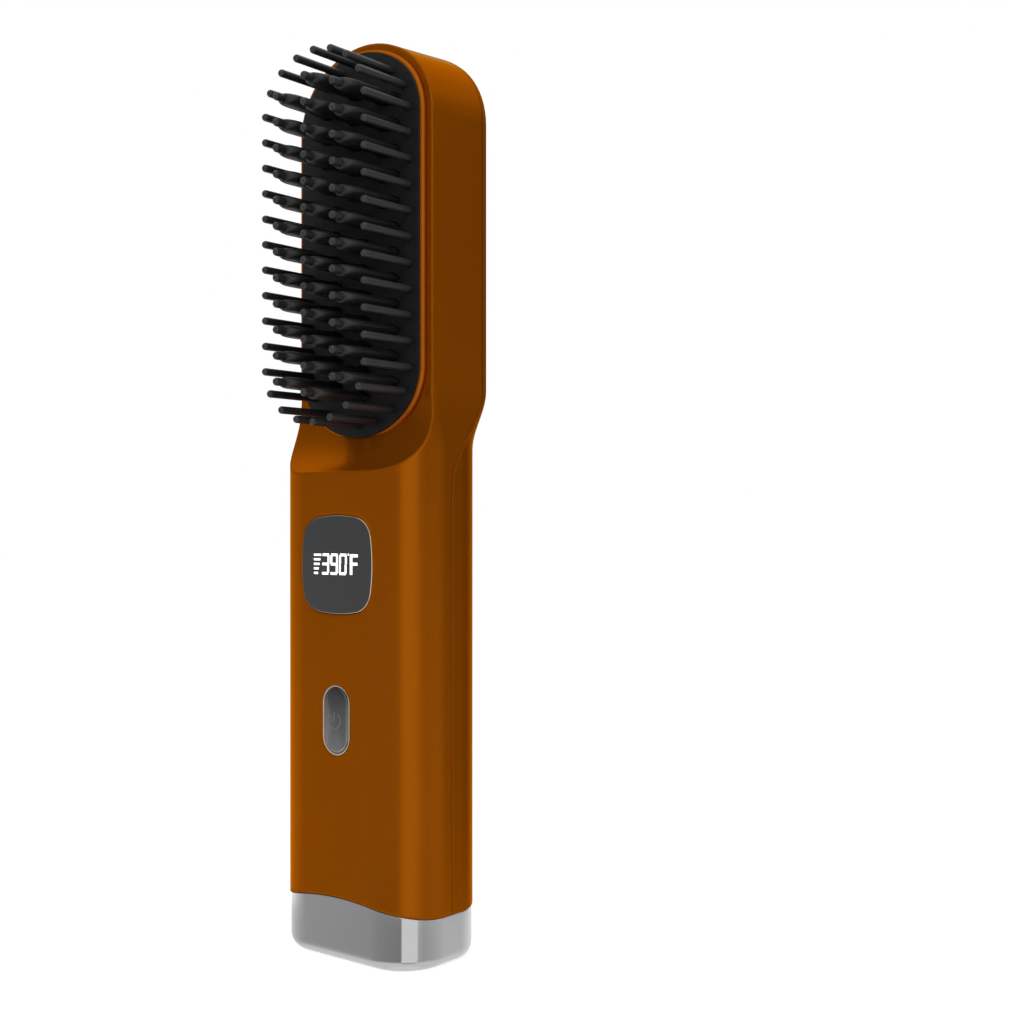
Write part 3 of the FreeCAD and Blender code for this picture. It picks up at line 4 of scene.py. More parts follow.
import bmesh
import bpy
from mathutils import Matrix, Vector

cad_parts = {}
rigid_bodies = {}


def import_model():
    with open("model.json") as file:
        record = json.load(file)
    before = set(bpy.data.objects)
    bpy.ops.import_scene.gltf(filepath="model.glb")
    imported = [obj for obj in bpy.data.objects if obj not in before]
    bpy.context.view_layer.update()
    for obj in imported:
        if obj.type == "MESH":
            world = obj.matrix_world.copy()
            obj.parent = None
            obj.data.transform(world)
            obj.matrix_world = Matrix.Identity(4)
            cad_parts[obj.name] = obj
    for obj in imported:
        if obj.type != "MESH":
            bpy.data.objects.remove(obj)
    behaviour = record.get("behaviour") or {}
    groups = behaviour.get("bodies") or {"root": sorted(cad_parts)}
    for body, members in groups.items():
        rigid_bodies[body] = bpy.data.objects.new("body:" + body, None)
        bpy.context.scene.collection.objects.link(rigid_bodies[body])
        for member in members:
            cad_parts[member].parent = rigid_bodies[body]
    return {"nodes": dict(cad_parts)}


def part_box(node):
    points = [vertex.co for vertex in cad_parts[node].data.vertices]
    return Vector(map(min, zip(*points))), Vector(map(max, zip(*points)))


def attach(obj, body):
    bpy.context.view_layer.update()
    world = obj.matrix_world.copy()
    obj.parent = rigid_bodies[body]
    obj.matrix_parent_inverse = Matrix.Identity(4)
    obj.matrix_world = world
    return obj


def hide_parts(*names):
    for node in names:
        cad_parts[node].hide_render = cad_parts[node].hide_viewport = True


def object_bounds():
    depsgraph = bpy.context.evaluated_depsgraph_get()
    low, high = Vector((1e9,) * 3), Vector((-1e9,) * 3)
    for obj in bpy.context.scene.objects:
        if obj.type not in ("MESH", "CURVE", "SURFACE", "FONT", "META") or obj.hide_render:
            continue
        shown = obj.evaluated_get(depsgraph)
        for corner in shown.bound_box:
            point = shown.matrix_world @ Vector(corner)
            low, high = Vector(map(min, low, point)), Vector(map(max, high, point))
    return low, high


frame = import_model()
cad_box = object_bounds()

# Housing: front shell and rear cover, the two moulded halves of handle and head.
# Tough plastic under a satin orange lacquer that reflects like tinted metal.
# The halves meet along the sides of the handle and sweep to the back of the head.


class Tone:
    """A value on its way through a material: arithmetic adds Math nodes, node() adds any other kind."""

    def __init__(self, tree, socket=None):
        """Without a socket it only starts a tree."""
        self.tree = tree
        self.socket = socket

    def node(self, kind, settings, inputs, output=0):
        """A node from its type, its settings and the values or links of its sockets."""
        made = self.tree.nodes.new(kind)
        for name, value in settings.items():
            if name == "stops":
                self.grade(made.color_ramp.elements, value)
            else:
                setattr(made, name, value)
        for name, value in inputs.items():
            if isinstance(value, Tone):
                self.tree.links.new(value.socket, made.inputs[name])
            else:
                made.inputs[name].default_value = value
        return Tone(self.tree, made.outputs[output])

    def grade(self, ramp, stops):
        """Gives a new ramp its grey stops, from pairs of position and level."""
        ramp.remove(ramp[1])
        for index, (position, level) in enumerate(stops):
            stop = ramp.new(position) if index else ramp[0]
            stop.position = position
            stop.color = (level, level, level, 1)

    def math(self, operation, first, second):
        """A Math node on two values."""
        return self.node("ShaderNodeMath", {"operation": operation}, {0: first, 1: second})

    def __add__(self, other):
        return self.math("ADD", self, other)

    def __sub__(self, other):
        return self.math("SUBTRACT", self, other)

    def __rsub__(self, other):
        return self.math("SUBTRACT", other, self)

    def __mul__(self, other):
        return self.math("MULTIPLY", self, other)

    __radd__ = __add__
    __rmul__ = __mul__

    def into(self, shader, socket):
        """Links the value to a socket of the shader."""
        self.tree.links.new(self.socket, shader.inputs[socket])


def finish(name, settings):
    """A material with its even values set, its shader, and the piece's own coordinates."""
    material = bpy.data.materials.new(name)
    material.use_nodes = True
    shader = material.node_tree.nodes["Principled BSDF"]
    for socket, value in settings.items():
        shader.inputs[socket].default_value = value
    place = Tone(material.node_tree).node("ShaderNodeTexCoord", {}, {}, "Object")
    return material, shader, place


def grain(place, fineness):
    """Soft noise from 0 to 1, in grains of about 1 / fineness metres."""
    return place.node("ShaderNodeTexNoise", {}, {"Vector": place, "Scale": fineness}, "Fac")


def tint(amount, first, second):
    """Colour that goes from the first to the second as the amount goes from 0 to 1."""
    return amount.node("ShaderNodeMix", {"data_type": "RGBA"}, {0: amount, 6: first, 7: second}, 2)


def surface(place, shader, gloss, fineness, pore, depth, edge):
    """Gloss between two bounds, pores of a fineness and depth, and edges broken over a radius."""
    (gloss[0] + (gloss[1] - gloss[0]) * grain(place, fineness)).into(shader, "Roughness")
    broken = place.node("ShaderNodeBevel", {"samples": 8}, {"Radius": edge})
    bump = {"Distance": depth, "Height": grain(place, pore), "Normal": broken}
    place.node("ShaderNodeBump", {}, bump).into(shader, "Normal")


def skin(name, dark, light, gloss, fineness, pore, depth, edge, settings):
    """A finish whose colour drifts between a dark and a light tone, with finer drifts of gloss."""
    material, shader, place = finish(name, settings)
    tint(grain(place, fineness), (*dark, 1), (*light, 1)).into(shader, "Base Color")
    surface(place, shader, gloss, 4 * fineness, pore, depth, edge)
    return material


def dress(material, *nodes):
    """Puts a finish on pieces of the frame."""
    for node in nodes:
        frame["nodes"][node].material_slots[0].material = material


LACQUER = {"Metallic": 0.72, "Specular IOR Level": 0.0, "Specular Tint": (1.0, 0.57, 0.05, 1)}
front_lacquer = skin(
    "orange_lacquer", dark=(0.33, 0.082, 0.002), light=(0.36, 0.09, 0.003), gloss=(0.245, 0.27),
    fineness=35, pore=2600, depth=1e-6, edge=1e-3, settings=LACQUER)
dress(front_lacquer, "front_shell")
# Painted shade: the rear cover has the front shell's orange lacquer, coloured a tenth darker.
rear_lacquer_painted_shade = skin(
    "orange_lacquer_painted_shade", dark=(0.3, 0.075, 0.002), light=(0.33, 0.083, 0.003), gloss=(0.245, 0.27),
    fineness=35, pore=2600, depth=1e-6, edge=5e-4, settings=LACQUER)
dress(rear_lacquer_painted_shade, "rear_cover")

# Base cap: bright plated plastic foot, a cup whose collar slides up into the shells.
# Behind the shells' seam the collar is coloured near black as painted shade, so the seam stays a dark line.
# Two steel screws with a cross recess go up through the cap into the rear cover.

MM = 0.001
METAL = {"Metallic": 1.0}
SEAM_SHADE_REACH = 19.6 * MM
SEAM_SHADE_HALF = 2 * MM
SEAM_SHADE_FOOT = 9.5 * MM


def along(place, axis):
    """The place's distance from the origin along one axis."""
    return place.node("ShaderNodeSeparateXYZ", {}, {0: place}, axis)


def within(value, low, high):
    """1 where the value lies between the two bounds, 0 elsewhere."""
    return value.math("GREATER_THAN", value, low) * value.math("LESS_THAN", value, high)


plating, shader, place = finish("bright_plating", METAL)
up = along(place, "Z")
# Painted shade: a near-black strip on the collar, just behind the seam.
seam_shade = within(along(place, "X"), -SEAM_SHADE_REACH, SEAM_SHADE_REACH) * within(along(place, "Y"), -SEAM_SHADE_HALF, SEAM_SHADE_HALF)
seam_shade = seam_shade * up.math("GREATER_THAN", up, SEAM_SHADE_FOOT)
bright = tint(grain(place, 40), (0.52, 0.52, 0.53, 1), (0.56, 0.56, 0.57, 1))
tint(seam_shade, bright, (0.012, 0.012, 0.012, 1)).into(shader, "Base Color")
surface(place, shader, gloss=(0.06, 0.1), fineness=160, pore=900, depth=1e-6, edge=3e-4)
dress(plating, "base_cap")

SCREW_LOW, SCREW_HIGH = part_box("base_screws")
SCREW_SIDES = 48
HEAD_RADIUS = 2.1 * MM
HEAD_HEIGHT = 1.5 * MM
HEAD_ROUND = 0.35 * MM
SHANK_RADIUS = 1.1 * MM
RECESS_LENGTH = 2.5 * MM
RECESS_WIDTH = 0.6 * MM
RECESS_DEPTH = 0.9 * MM


def pick(kind, test):
    """In edit mode, selects the faces, edges or verts that pass the test, and nothing else."""
    bpy.ops.mesh.select_all(action="DESELECT")
    mesh = bmesh.from_edit_mesh(bpy.context.object.data)
    for part in getattr(mesh, kind):
        part.select_set(test(part))
    mesh.select_flush_mode()
    bmesh.update_edit_mesh(bpy.context.object.data)


def bar(x, y, z, width, depth, height):
    """A box about a point, its place and size in its mesh."""
    bpy.ops.object.select_all(action="DESELECT")
    bpy.ops.mesh.primitive_cube_add(size=1, location=(x, y, z))
    made = bpy.context.object
    made.scale = (width, depth, height)
    bpy.ops.object.transform_apply(location=True, rotation=False, scale=True)
    return made


def copy_to(piece, shift):
    """A copy of the piece with a mesh of its own, moved by the shift."""
    bpy.ops.object.select_all(action="DESELECT")
    piece.select_set(True)
    bpy.context.view_layer.objects.active = piece
    bpy.ops.object.duplicate()
    twin = bpy.context.object
    twin.location = shift
    bpy.ops.object.transform_apply(location=True, rotation=False, scale=False)
    return twin


def join(name, pieces):
    """Makes one named piece of several."""
    bpy.ops.object.select_all(action="DESELECT")
    for piece in pieces:
        piece.select_set(True)
    bpy.context.view_layer.objects.active = pieces[0]
    bpy.ops.object.join()
    joined = bpy.context.object
    joined.name = name
    return joined


def carve(piece, tool):
    """Cuts the tool's form out of the piece and takes the tool away."""
    cut = piece.modifiers.new("carve", "BOOLEAN")
    cut.object = tool
    cut.operation = "DIFFERENCE"
    bpy.context.view_layer.objects.active = piece
    bpy.ops.object.modifier_apply(modifier=cut.name)
    bpy.data.objects.remove(tool)


def cross_screw(x, y):
    """A pan-head screw pointing up: head, neck and shank from one cylinder, then the recess."""
    bpy.ops.object.select_all(action="DESELECT")
    bpy.ops.mesh.primitive_cylinder_add(vertices=SCREW_SIDES, radius=HEAD_RADIUS, depth=HEAD_HEIGHT,
                                        location=(x, y, SCREW_LOW.z + HEAD_HEIGHT / 2))
    screw = bpy.context.object
    bpy.ops.object.transform_apply(location=True, rotation=False, scale=False)
    seat = SCREW_LOW.z + HEAD_HEIGHT
    bpy.ops.object.mode_set(mode="EDIT")
    pick("faces", lambda face: face.normal.z > 0.9)
    bpy.ops.mesh.inset(thickness=HEAD_RADIUS - SHANK_RADIUS)
    bpy.ops.mesh.extrude_region_move(TRANSFORM_OT_translate={"value": (0, 0, SCREW_HIGH.z - seat)})
    pick("edges", lambda edge: all(vert.co.z < seat - HEAD_HEIGHT / 2 for vert in edge.verts))
    bpy.ops.mesh.bevel(offset=HEAD_ROUND, segments=4)
    bpy.ops.object.mode_set(mode="OBJECT")
    for width, depth in ((RECESS_LENGTH, RECESS_WIDTH), (RECESS_WIDTH, RECESS_LENGTH)):
        carve(screw, bar(x, y, SCREW_LOW.z, width, depth, 2 * RECESS_DEPTH))
    return screw


screw_x = SCREW_HIGH.x - HEAD_RADIUS
screw_y = SCREW_HIGH.y - HEAD_RADIUS
right_screw = cross_screw(screw_x, screw_y)
left_screw = copy_to(right_screw, (-2 * screw_x, 0, 0))
screws = join("cross_screws", [right_screw, left_screw])
steel = skin(
    "zinc_steel", dark=(0.5, 0.5, 0.49), light=(0.62, 0.62, 0.61), gloss=(0.28, 0.42),
    fineness=700, pore=6000, depth=3e-6, edge=1e-4, settings=METAL)
screws.data.materials.append(steel)
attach(screws, "body")
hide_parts("base_screws")

# Charging inlet: drawn steel socket in the base's floor, on a small green board, with two red leads.
# Its moulded black tongue carries a row of nickel contacts on each side.

dress(steel, "charging_inlet")
laminate = skin(
    "board_laminate", dark=(0.015, 0.13, 0.045), light=(0.03, 0.19, 0.075), gloss=(0.3, 0.45),
    fineness=900, pore=4000, depth=8e-6, edge=1e-4, settings={"Coat Weight": 0.4})
dress(laminate, "charge_board")
sleeve = skin(
    "silicone_sleeve", dark=(0.4, 0.025, 0.018), light=(0.5, 0.035, 0.025), gloss=(0.5, 0.65),
    fineness=600, pore=5000, depth=6e-6, edge=1e-4, settings={})
dress(sleeve, "charge_leads")

INLET_LOW, INLET_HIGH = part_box("charging_inlet")
INLET_Y = (INLET_LOW.y + INLET_HIGH.y) / 2
TONGUE_LOW = INLET_LOW.z + 1.5 * MM
TONGUE_HEIGHT = 4.6 * MM
TONGUE_MIDDLE = TONGUE_LOW + TONGUE_HEIGHT / 2
TONGUE_WIDTH = 6.9 * MM
TONGUE_THICK = 0.9 * MM
TONGUE_ROUND = 0.2 * MM
CONTACTS = 7
CONTACT_PITCH = 0.85 * MM
CONTACT_WIDTH = 0.45 * MM
CONTACT_LENGTH = 3.0 * MM
CONTACT_THICK = 0.12 * MM
CONTACT_LIFT = 0.4 * MM
CONTACT_MIDDLE = TONGUE_LOW + CONTACT_LIFT + CONTACT_LENGTH / 2
CONTACT_ROUND = 0.03 * MM


def bevel_edges(test, offset, segments):
    """Bevels those edges of the active piece that pass the test."""
    bpy.ops.object.mode_set(mode="EDIT")
    pick("edges", test)
    bpy.ops.mesh.bevel(offset=offset, segments=segments)
    bpy.ops.object.mode_set(mode="OBJECT")


tongue = bar(0, INLET_Y, TONGUE_MIDDLE, TONGUE_WIDTH, TONGUE_THICK, TONGUE_HEIGHT)
tongue.name = "inlet_tongue"
bevel_edges(lambda edge: all(vert.co.z < TONGUE_MIDDLE for vert in edge.verts), TONGUE_ROUND, 3)
moulding = skin(
    "black_moulding", dark=(0.016, 0.016, 0.017), light=(0.024, 0.024, 0.025), gloss=(0.4, 0.55),
    fineness=500, pore=6000, depth=5e-6, edge=1e-4, settings={})
tongue.data.materials.append(moulding)
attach(tongue, "body")

first_x = -(CONTACTS - 1) / 2 * CONTACT_PITCH
contact = bar(first_x, INLET_Y - TONGUE_THICK / 2, CONTACT_MIDDLE,
              CONTACT_WIDTH, CONTACT_THICK, CONTACT_LENGTH)
bevel_edges(lambda edge: True, CONTACT_ROUND, 2)
front_row = [contact] + [copy_to(contact, (step * CONTACT_PITCH, 0, 0)) for step in range(1, CONTACTS)]
back_row = [copy_to(piece, (0, TONGUE_THICK, 0)) for piece in front_row]
contacts = join("inlet_contacts", front_row + back_row)
nickel = skin(
    "bright_nickel", dark=(0.62, 0.58, 0.5), light=(0.74, 0.71, 0.64), gloss=(0.18, 0.26),
    fineness=800, pore=5000, depth=2e-6, edge=1e-4, settings=METAL)
contacts.data.materials.append(nickel)
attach(contacts, "body")

# Battery: two round cells in shrunk blue film sleeves, lying along the handle.
# Welded nickel tabs join them and a moulded black cradle spaces them from the shells.

film = skin(
    "cell_film", dark=(0.03, 0.17, 0.36), light=(0.06, 0.25, 0.46), gloss=(0.2, 0.26),
    fineness=60, pore=1500, depth=5e-6, edge=1e-4, settings={"Coat Weight": 0.5})
dress(film, "battery_cells")
dress(nickel, "battery_tabs")
dress(moulding, "battery_cradle")

# Main board: green laminate on the front shell's bosses, held by three steel screws.
# The black switch and the digit module stand on it, and the switch's plunger moves with the button.

dress(laminate, "main_board")
dress(steel, "board_screws")
dress(moulding, "switch_body", "switch_plunger", "display_module")

# Power button: crowned plated pill that slides in the shell, in a bright trim ring pressed in around it.
# Its satin plating is coloured dark at the top and light at the foot as painted shade.
# The power sign is a fine raised line on its face.

BUTTON_LOW, BUTTON_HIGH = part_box("power_button")
BUTTON_MIDDLE = (BUTTON_LOW.z + BUTTON_HIGH.z) / 2
SATIN_DRIFT = 0.1


def climb(value, start, end):
    """0 at the start, 1 at the end, and an even rise between."""
    return value.node("ShaderNodeMapRange", {}, {"Value": value, "From Min": start, "From Max": end})


painted_shade_satin, shader, place = finish("satin_plating_painted_shade", METAL)
# Painted shade: the button's colour darkens from the foot up to the top.
rise = climb(along(place, "Z"), BUTTON_LOW.z, BUTTON_HIGH.z) + SATIN_DRIFT * grain(place, 300)
tint(rise, (0.34, 0.34, 0.335, 1), (0.11, 0.11, 0.115, 1)).into(shader, "Base Color")
surface(place, shader, gloss=(0.23, 0.27), fineness=1200, pore=5000, depth=2e-6, edge=1.2e-3)
dress(painted_shade_satin, "power_button")
trim = skin(
    "trim_plating", dark=(0.78, 0.72, 0.64), light=(0.86, 0.8, 0.72), gloss=(0.12, 0.18),
    fineness=300, pore=3000, depth=1e-6, edge=2.5e-4, settings=METAL)
dress(trim, "button_ring")

SIGN_RADIUS = 1.72 * MM
SIGN_LINE = 0.12 * MM
SIGN_GAP = math.radians(36)
SIGN_Y = BUTTON_LOW.y - MM
STEM_TOP = 1.85 * MM
STEM_FOOT = -0.15 * MM
STEM_LENGTH = STEM_TOP - STEM_FOOT
STEM_MIDDLE = BUTTON_MIDDLE + (STEM_TOP + STEM_FOOT) / 2


def sign_line():
    """Lays the active line on the button's face and makes it a fine round bead."""
    line = bpy.context.object
    wrap = line.modifiers.new("lay", "SHRINKWRAP")
    wrap.target = frame["nodes"]["power_button"]
    wrap.wrap_method = "PROJECT"
    wrap.use_project_x = False
    wrap.use_project_y = True
    wrap.use_project_z = False
    wrap.use_positive_direction = True
    bpy.ops.object.modifier_apply(modifier=wrap.name)
    bpy.ops.object.convert(target="CURVE")
    line.data.bevel_depth = SIGN_LINE
    line.data.bevel_resolution = 2
    line.data.use_fill_caps = True
    bpy.ops.object.convert(target="MESH")
    return line


def sign_ring():
    """A circle in front of the button, open at the top for the stem."""
    bpy.ops.object.select_all(action="DESELECT")
    bpy.ops.mesh.primitive_circle_add(vertices=64, radius=SIGN_RADIUS, rotation=(math.pi / 2, 0, 0),
                                      location=(0, SIGN_Y, BUTTON_MIDDLE))
    bpy.ops.object.transform_apply(location=True, rotation=True, scale=True)
    bpy.ops.object.mode_set(mode="EDIT")
    pick("verts", lambda vert: math.atan2(abs(vert.co.x), vert.co.z - BUTTON_MIDDLE) < SIGN_GAP)
    bpy.ops.mesh.delete(type="VERT")
    bpy.ops.object.mode_set(mode="OBJECT")


def sign_stem():
    """One upright side of a square in front of the button, moved to the middle and cut into short lengths."""
    bpy.ops.object.select_all(action="DESELECT")
    bpy.ops.mesh.primitive_plane_add(size=STEM_LENGTH, rotation=(math.pi / 2, 0, 0),
                                     location=(0, SIGN_Y, STEM_MIDDLE))
    bpy.ops.object.transform_apply(location=True, rotation=True, scale=True)
    bpy.ops.object.mode_set(mode="EDIT")
    pick("verts", lambda vert: vert.co.x > 0)
    bpy.ops.mesh.delete(type="VERT")
    bpy.ops.mesh.select_all(action="SELECT")
    bpy.ops.transform.translate(value=(STEM_LENGTH / 2, 0, 0))
    bpy.ops.mesh.subdivide(number_cuts=6)
    bpy.ops.object.mode_set(mode="OBJECT")


sign_ring()
ring_line = sign_line()
sign_stem()
stem_line = sign_line()
sign = join("power_sign", [ring_line, stem_line])
relief = skin(
    "sign_plating", dark=(0.3, 0.3, 0.3), light=(0.34, 0.34, 0.34), gloss=(0.28, 0.33),
    fineness=300, pore=3000, depth=1e-6, edge=1e-4, settings=METAL)
sign.data.materials.append(relief)
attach(sign, "button")

# Display window: a tinted, mirror-like plastic plate with a rounded edge that is coloured light cream as a
# painted highlight.
# It drops into its seat flush with the front shell.

WINDOW_LOW, WINDOW_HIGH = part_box("display_window")
HIGHLIGHT_START = WINDOW_LOW.y + 0.005 * MM
HIGHLIGHT_END = WINDOW_LOW.y + 0.06 * MM
window, shader, place = finish("tinted_window", {"Metallic": 0.9})
smoke = tint(grain(place, 60), (0.115, 0.117, 0.12, 1), (0.13, 0.132, 0.135, 1))
# Painted highlight: all of the window except its front face is coloured light cream.
edge = climb(along(place, "Y"), HIGHLIGHT_START, HIGHLIGHT_END)
tint(edge, smoke, (0.9, 0.72, 0.54, 1)).into(shader, "Base Color")
surface(place, shader, gloss=(0.1, 0.14), fineness=400, pore=3000, depth=5e-7, edge=1e-4)
dress(window, "display_window")

# Readout: five level bars, three digits, a degree sign and the letter of the scale, in lit white segments.
# The segments shine through the window, so they lie in its front face.

READOUT_MIDDLE = (WINDOW_LOW.z + WINDOW_HIGH.z) / 2 + 0.1 * MM
READOUT_HEIGHT = 4.55 * MM
STROKE = 0.56 * MM
STROKE_CUT = 0.42 * STROKE
STROKE_GAP = 0.7 * STROKE
SEGMENT_THICK = 0.06 * MM
DIGIT_WIDTH = 2.3 * MM
DIGIT_LEAN = 0.05
DIGITS = (
    (-3.2 * MM, ("top", "upper_right", "middle", "lower_right", "bottom")),
    (-0.6 * MM, ("top", "upper_left", "upper_right", "middle", "lower_right", "bottom")),
    (2.05 * MM, ("top", "upper_left", "upper_right", "lower_left", "lower_right", "bottom")),
)
LEVEL_LENGTHS = (2.27 * MM, 2.0 * MM, 1.75 * MM, 1.5 * MM, 1.25 * MM)
MIDDLE_LEVEL = 2
LEVEL_LEFT = -6.75 * MM
LEVEL_PITCH = 0.98 * MM
LEVEL_HEIGHT = 0.46 * MM
LEVEL_CUT = 0.08 * MM
DEGREE_X = 3.68 * MM
DEGREE_Z = 2.1 * MM
DEGREE_SIZE = 0.4 * MM
DEGREE_CUT = 0.12 * MM
LETTER_LEFT = 4.12 * MM
LETTER_CUT = 0.05 * MM
LETTER_BARS = (
    (0.38 * MM, 0, 0.72 * MM, 4.35 * MM),
    (1.5 * MM, 1.86 * MM, 1.7 * MM, 0.63 * MM),
    (1.45 * MM, 0.1 * MM, 1.6 * MM, 0.6 * MM),
)


def lit_bar(x, z, length, height, cut):
    """One lit bar centred at x and z on the window, its ends cut at the corners."""
    lit = bar(x, WINDOW_LOW.y, READOUT_MIDDLE + z, length, SEGMENT_THICK, height)
    bevel_edges(lambda edge: abs(edge.verts[0].co.y - edge.verts[1].co.y) > SEGMENT_THICK / 2, cut, 1)
    return lit


def digit(x, lit):
    """A seven-segment digit about x, with the named segments lit."""
    reach = DIGIT_WIDTH / 2 - STROKE / 2
    arm = READOUT_HEIGHT / 4 - STROKE / 4
    rise = READOUT_HEIGHT / 2 - STROKE / 2
    flat = DIGIT_WIDTH - STROKE_GAP
    upright = READOUT_HEIGHT / 2 - STROKE_GAP
    places = {
        "top": (0, rise, flat, STROKE), "middle": (0, 0, flat, STROKE), "bottom": (0, -rise, flat, STROKE),
        "upper_left": (-reach, arm, STROKE, upright), "upper_right": (reach, arm, STROKE, upright),
        "lower_left": (-reach, -arm, STROKE, upright), "lower_right": (reach, -arm, STROKE, upright),
    }
    segments = []
    for name in lit:
        across, up, length, height = places[name]
        segments.append(lit_bar(x + across + DIGIT_LEAN * up, up, length, height, STROKE_CUT))
    return segments


lit_pieces = []
for step, length in enumerate(LEVEL_LENGTHS):
    up = (MIDDLE_LEVEL - step) * LEVEL_PITCH
    lit_pieces.append(lit_bar(LEVEL_LEFT + length / 2, up, length, LEVEL_HEIGHT, LEVEL_CUT))
for digit_x, lit in DIGITS:
    lit_pieces += digit(digit_x, lit)
lit_pieces.append(lit_bar(DEGREE_X, DEGREE_Z, DEGREE_SIZE, DEGREE_SIZE, DEGREE_CUT))
for across, up, length, height in LETTER_BARS:
    lit_pieces.append(lit_bar(LETTER_LEFT + across, up, length, height, LETTER_CUT))
readout = join("readout", lit_pieces)
glow, shader, place = finish("lit_segments", {
    "Base Color": (0.8, 0.8, 0.8, 1), "Emission Strength": 1.0, "Roughness": 0.5})
tint(grain(place, 2000), (0.9, 0.9, 0.9, 1), (0.96, 0.96, 0.96, 1)).into(shader, "Emission Color")
readout.data.materials.append(glow)
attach(readout, "body")

# Heater: aluminium plate and teeth under a black ceramic coat, white ceramic strips, mica and a steel clamp.
# Two screws pull the clamp to the bed and press the stack together.
# The glass sensor and the fuse lie on the stack, and two red leads feed it.

ceramic_coat = skin(
    "black_ceramic_coat", dark=(0.018, 0.018, 0.019), light=(0.027, 0.027, 0.028), gloss=(0.34, 0.46),
    fineness=900, pore=9000, depth=4e-6, edge=1.5e-3, settings={"Metallic": 0.2})
dress(ceramic_coat, "heat_plate", "heating_teeth")
ceramic = skin(
    "white_ceramic", dark=(0.76, 0.74, 0.69), light=(0.85, 0.83, 0.79), gloss=(0.55, 0.7),
    fineness=500, pore=4000, depth=8e-6, edge=1e-4, settings={})
dress(ceramic, "heater_strips", "thermal_fuse")
flakes = skin(
    "mica_flakes", dark=(0.46, 0.38, 0.25), light=(0.62, 0.54, 0.39), gloss=(0.3, 0.5),
    fineness=350, pore=2500, depth=1e-5, edge=1e-4, settings={})
dress(flakes, "mica_sheet")
dress(steel, "clamp_plate", "clamp_screws")
glass = skin(
    "sensor_bead", dark=(0.26, 0.1, 0.04), light=(0.34, 0.14, 0.06), gloss=(0.08, 0.16),
    fineness=800, pore=3000, depth=2e-6, edge=1e-4, settings={})
dress(glass, "temperature_sensor")
dress(sleeve, "heater_leads")

# Bristle bed, rim pins and cool tips: black heat-proof nylon; the bed is coloured darker and less shiny than
# the pins as painted shade between the teeth.
# The bed snaps into the head; pins and tips are pressed into the bed and into the teeth.

# Painted shade: the bed's nylon is darker and less shiny than the pins' nylon.
bed_nylon_painted_shade = skin(
    "bed_nylon_painted_shade", dark=(0.006, 0.006, 0.0065), light=(0.009, 0.009, 0.0095), gloss=(0.5, 0.65),
    fineness=500, pore=4000, depth=6e-6, edge=2e-4, settings={"Specular IOR Level": 0.3})
dress(bed_nylon_painted_shade, "bristle_frame")
nylon = skin(
    "black_nylon", dark=(0.018, 0.018, 0.019), light=(0.025, 0.025, 0.026), gloss=(0.36, 0.48),
    fineness=500, pore=6000, depth=5e-6, edge=1.5e-4, settings={})
dress(nylon, "rim_pins", "cool_tips")

# Lip of the head: a round bead on the wall that stands round the opening, just under the bed's edge.
# It is moulded on the front shell; its lacquer is more matt and is coloured lighter than the shell's as a
# painted highlight.

LIP_RADIUS = 0.8 * MM
LIP_DROP = 1.3 * MM
BED_EDGE = 0.4 * MM
MERGE = 0.001 * MM
BED_LOW, BED_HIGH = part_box("bristle_frame")
OUTER_X = BED_HIGH.x - 0.2 * MM
bpy.ops.object.select_all(action="DESELECT")
bed = frame["nodes"]["bristle_frame"]
lip = bpy.data.objects.new("head_lip", bed.data.copy())
lip.matrix_world = bed.matrix_world
bpy.context.scene.collection.objects.link(lip)
bpy.context.view_layer.objects.active = lip
lip.select_set(True)
bpy.ops.object.transform_apply(location=True, rotation=True, scale=True)
bpy.ops.object.mode_set(mode="EDIT")
bpy.ops.mesh.select_all(action="SELECT")
bpy.ops.mesh.remove_doubles(threshold=MERGE)
bpy.ops.mesh.select_all(action="SELECT")
bpy.ops.mesh.bisect(plane_co=(0, BED_LOW.y + BED_EDGE, 0), plane_no=(0, 1, 0),
                    clear_inner=True, clear_outer=True)
pick("verts", lambda vert: vert.co.x > OUTER_X)
bpy.ops.mesh.select_linked()
bpy.ops.mesh.select_all(action="INVERT")
bpy.ops.mesh.delete(type="VERT")
bpy.ops.mesh.select_all(action="SELECT")
bpy.ops.transform.translate(value=(0, LIP_DROP - BED_EDGE, 0))
bpy.ops.object.mode_set(mode="OBJECT")
bpy.ops.object.convert(target="CURVE")
lip.data.bevel_depth = LIP_RADIUS
lip.data.bevel_resolution = 3
bpy.ops.object.convert(target="MESH")
lip.data.materials.clear()
# Painted highlight: the lip's lacquer is coloured lighter than the shell's.
lip_lacquer_painted_highlight = skin(
    "lip_lacquer_painted_highlight", dark=(0.42, 0.112, 0.008), light=(0.46, 0.122, 0.01), gloss=(0.38, 0.44),
    fineness=35, pore=2600, depth=1e-6, edge=5e-4, settings=LACQUER)
lip.data.materials.append(lip_lacquer_painted_highlight)
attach(lip, "body")

# Stage: a white floor that is clear from below, and a cloth light tent that only reflections see.
# One soft box stands in the tent at the front right; two soft lamps give the plain light.

FLOOR_SIZE = 8
FLOOR_DROP = 0.05 * MM
FLOOR_GLOW = 0.65
bpy.ops.object.select_all(action="DESELECT")
bpy.ops.mesh.primitive_plane_add(size=FLOOR_SIZE, location=(0, 0, -FLOOR_DROP))
floor = bpy.context.object
floor.name = "floor"
pale, shader, place = finish("pale_floor", {
    "Base Color": (0.85, 0.85, 0.85, 1), "Roughness": 0.7,
    "Specular IOR Level": 0.0, "Emission Strength": 1.0})
seen = place.node("ShaderNodeLightPath", {}, {}, "Is Camera Ray")
(FLOOR_GLOW * seen).into(shader, "Emission Color")
below = place.node("ShaderNodeNewGeometry", {}, {}, "Backfacing")
(1 - below).into(shader, "Alpha")
floor.data.materials.append(pale)
floor.visible_glossy = False

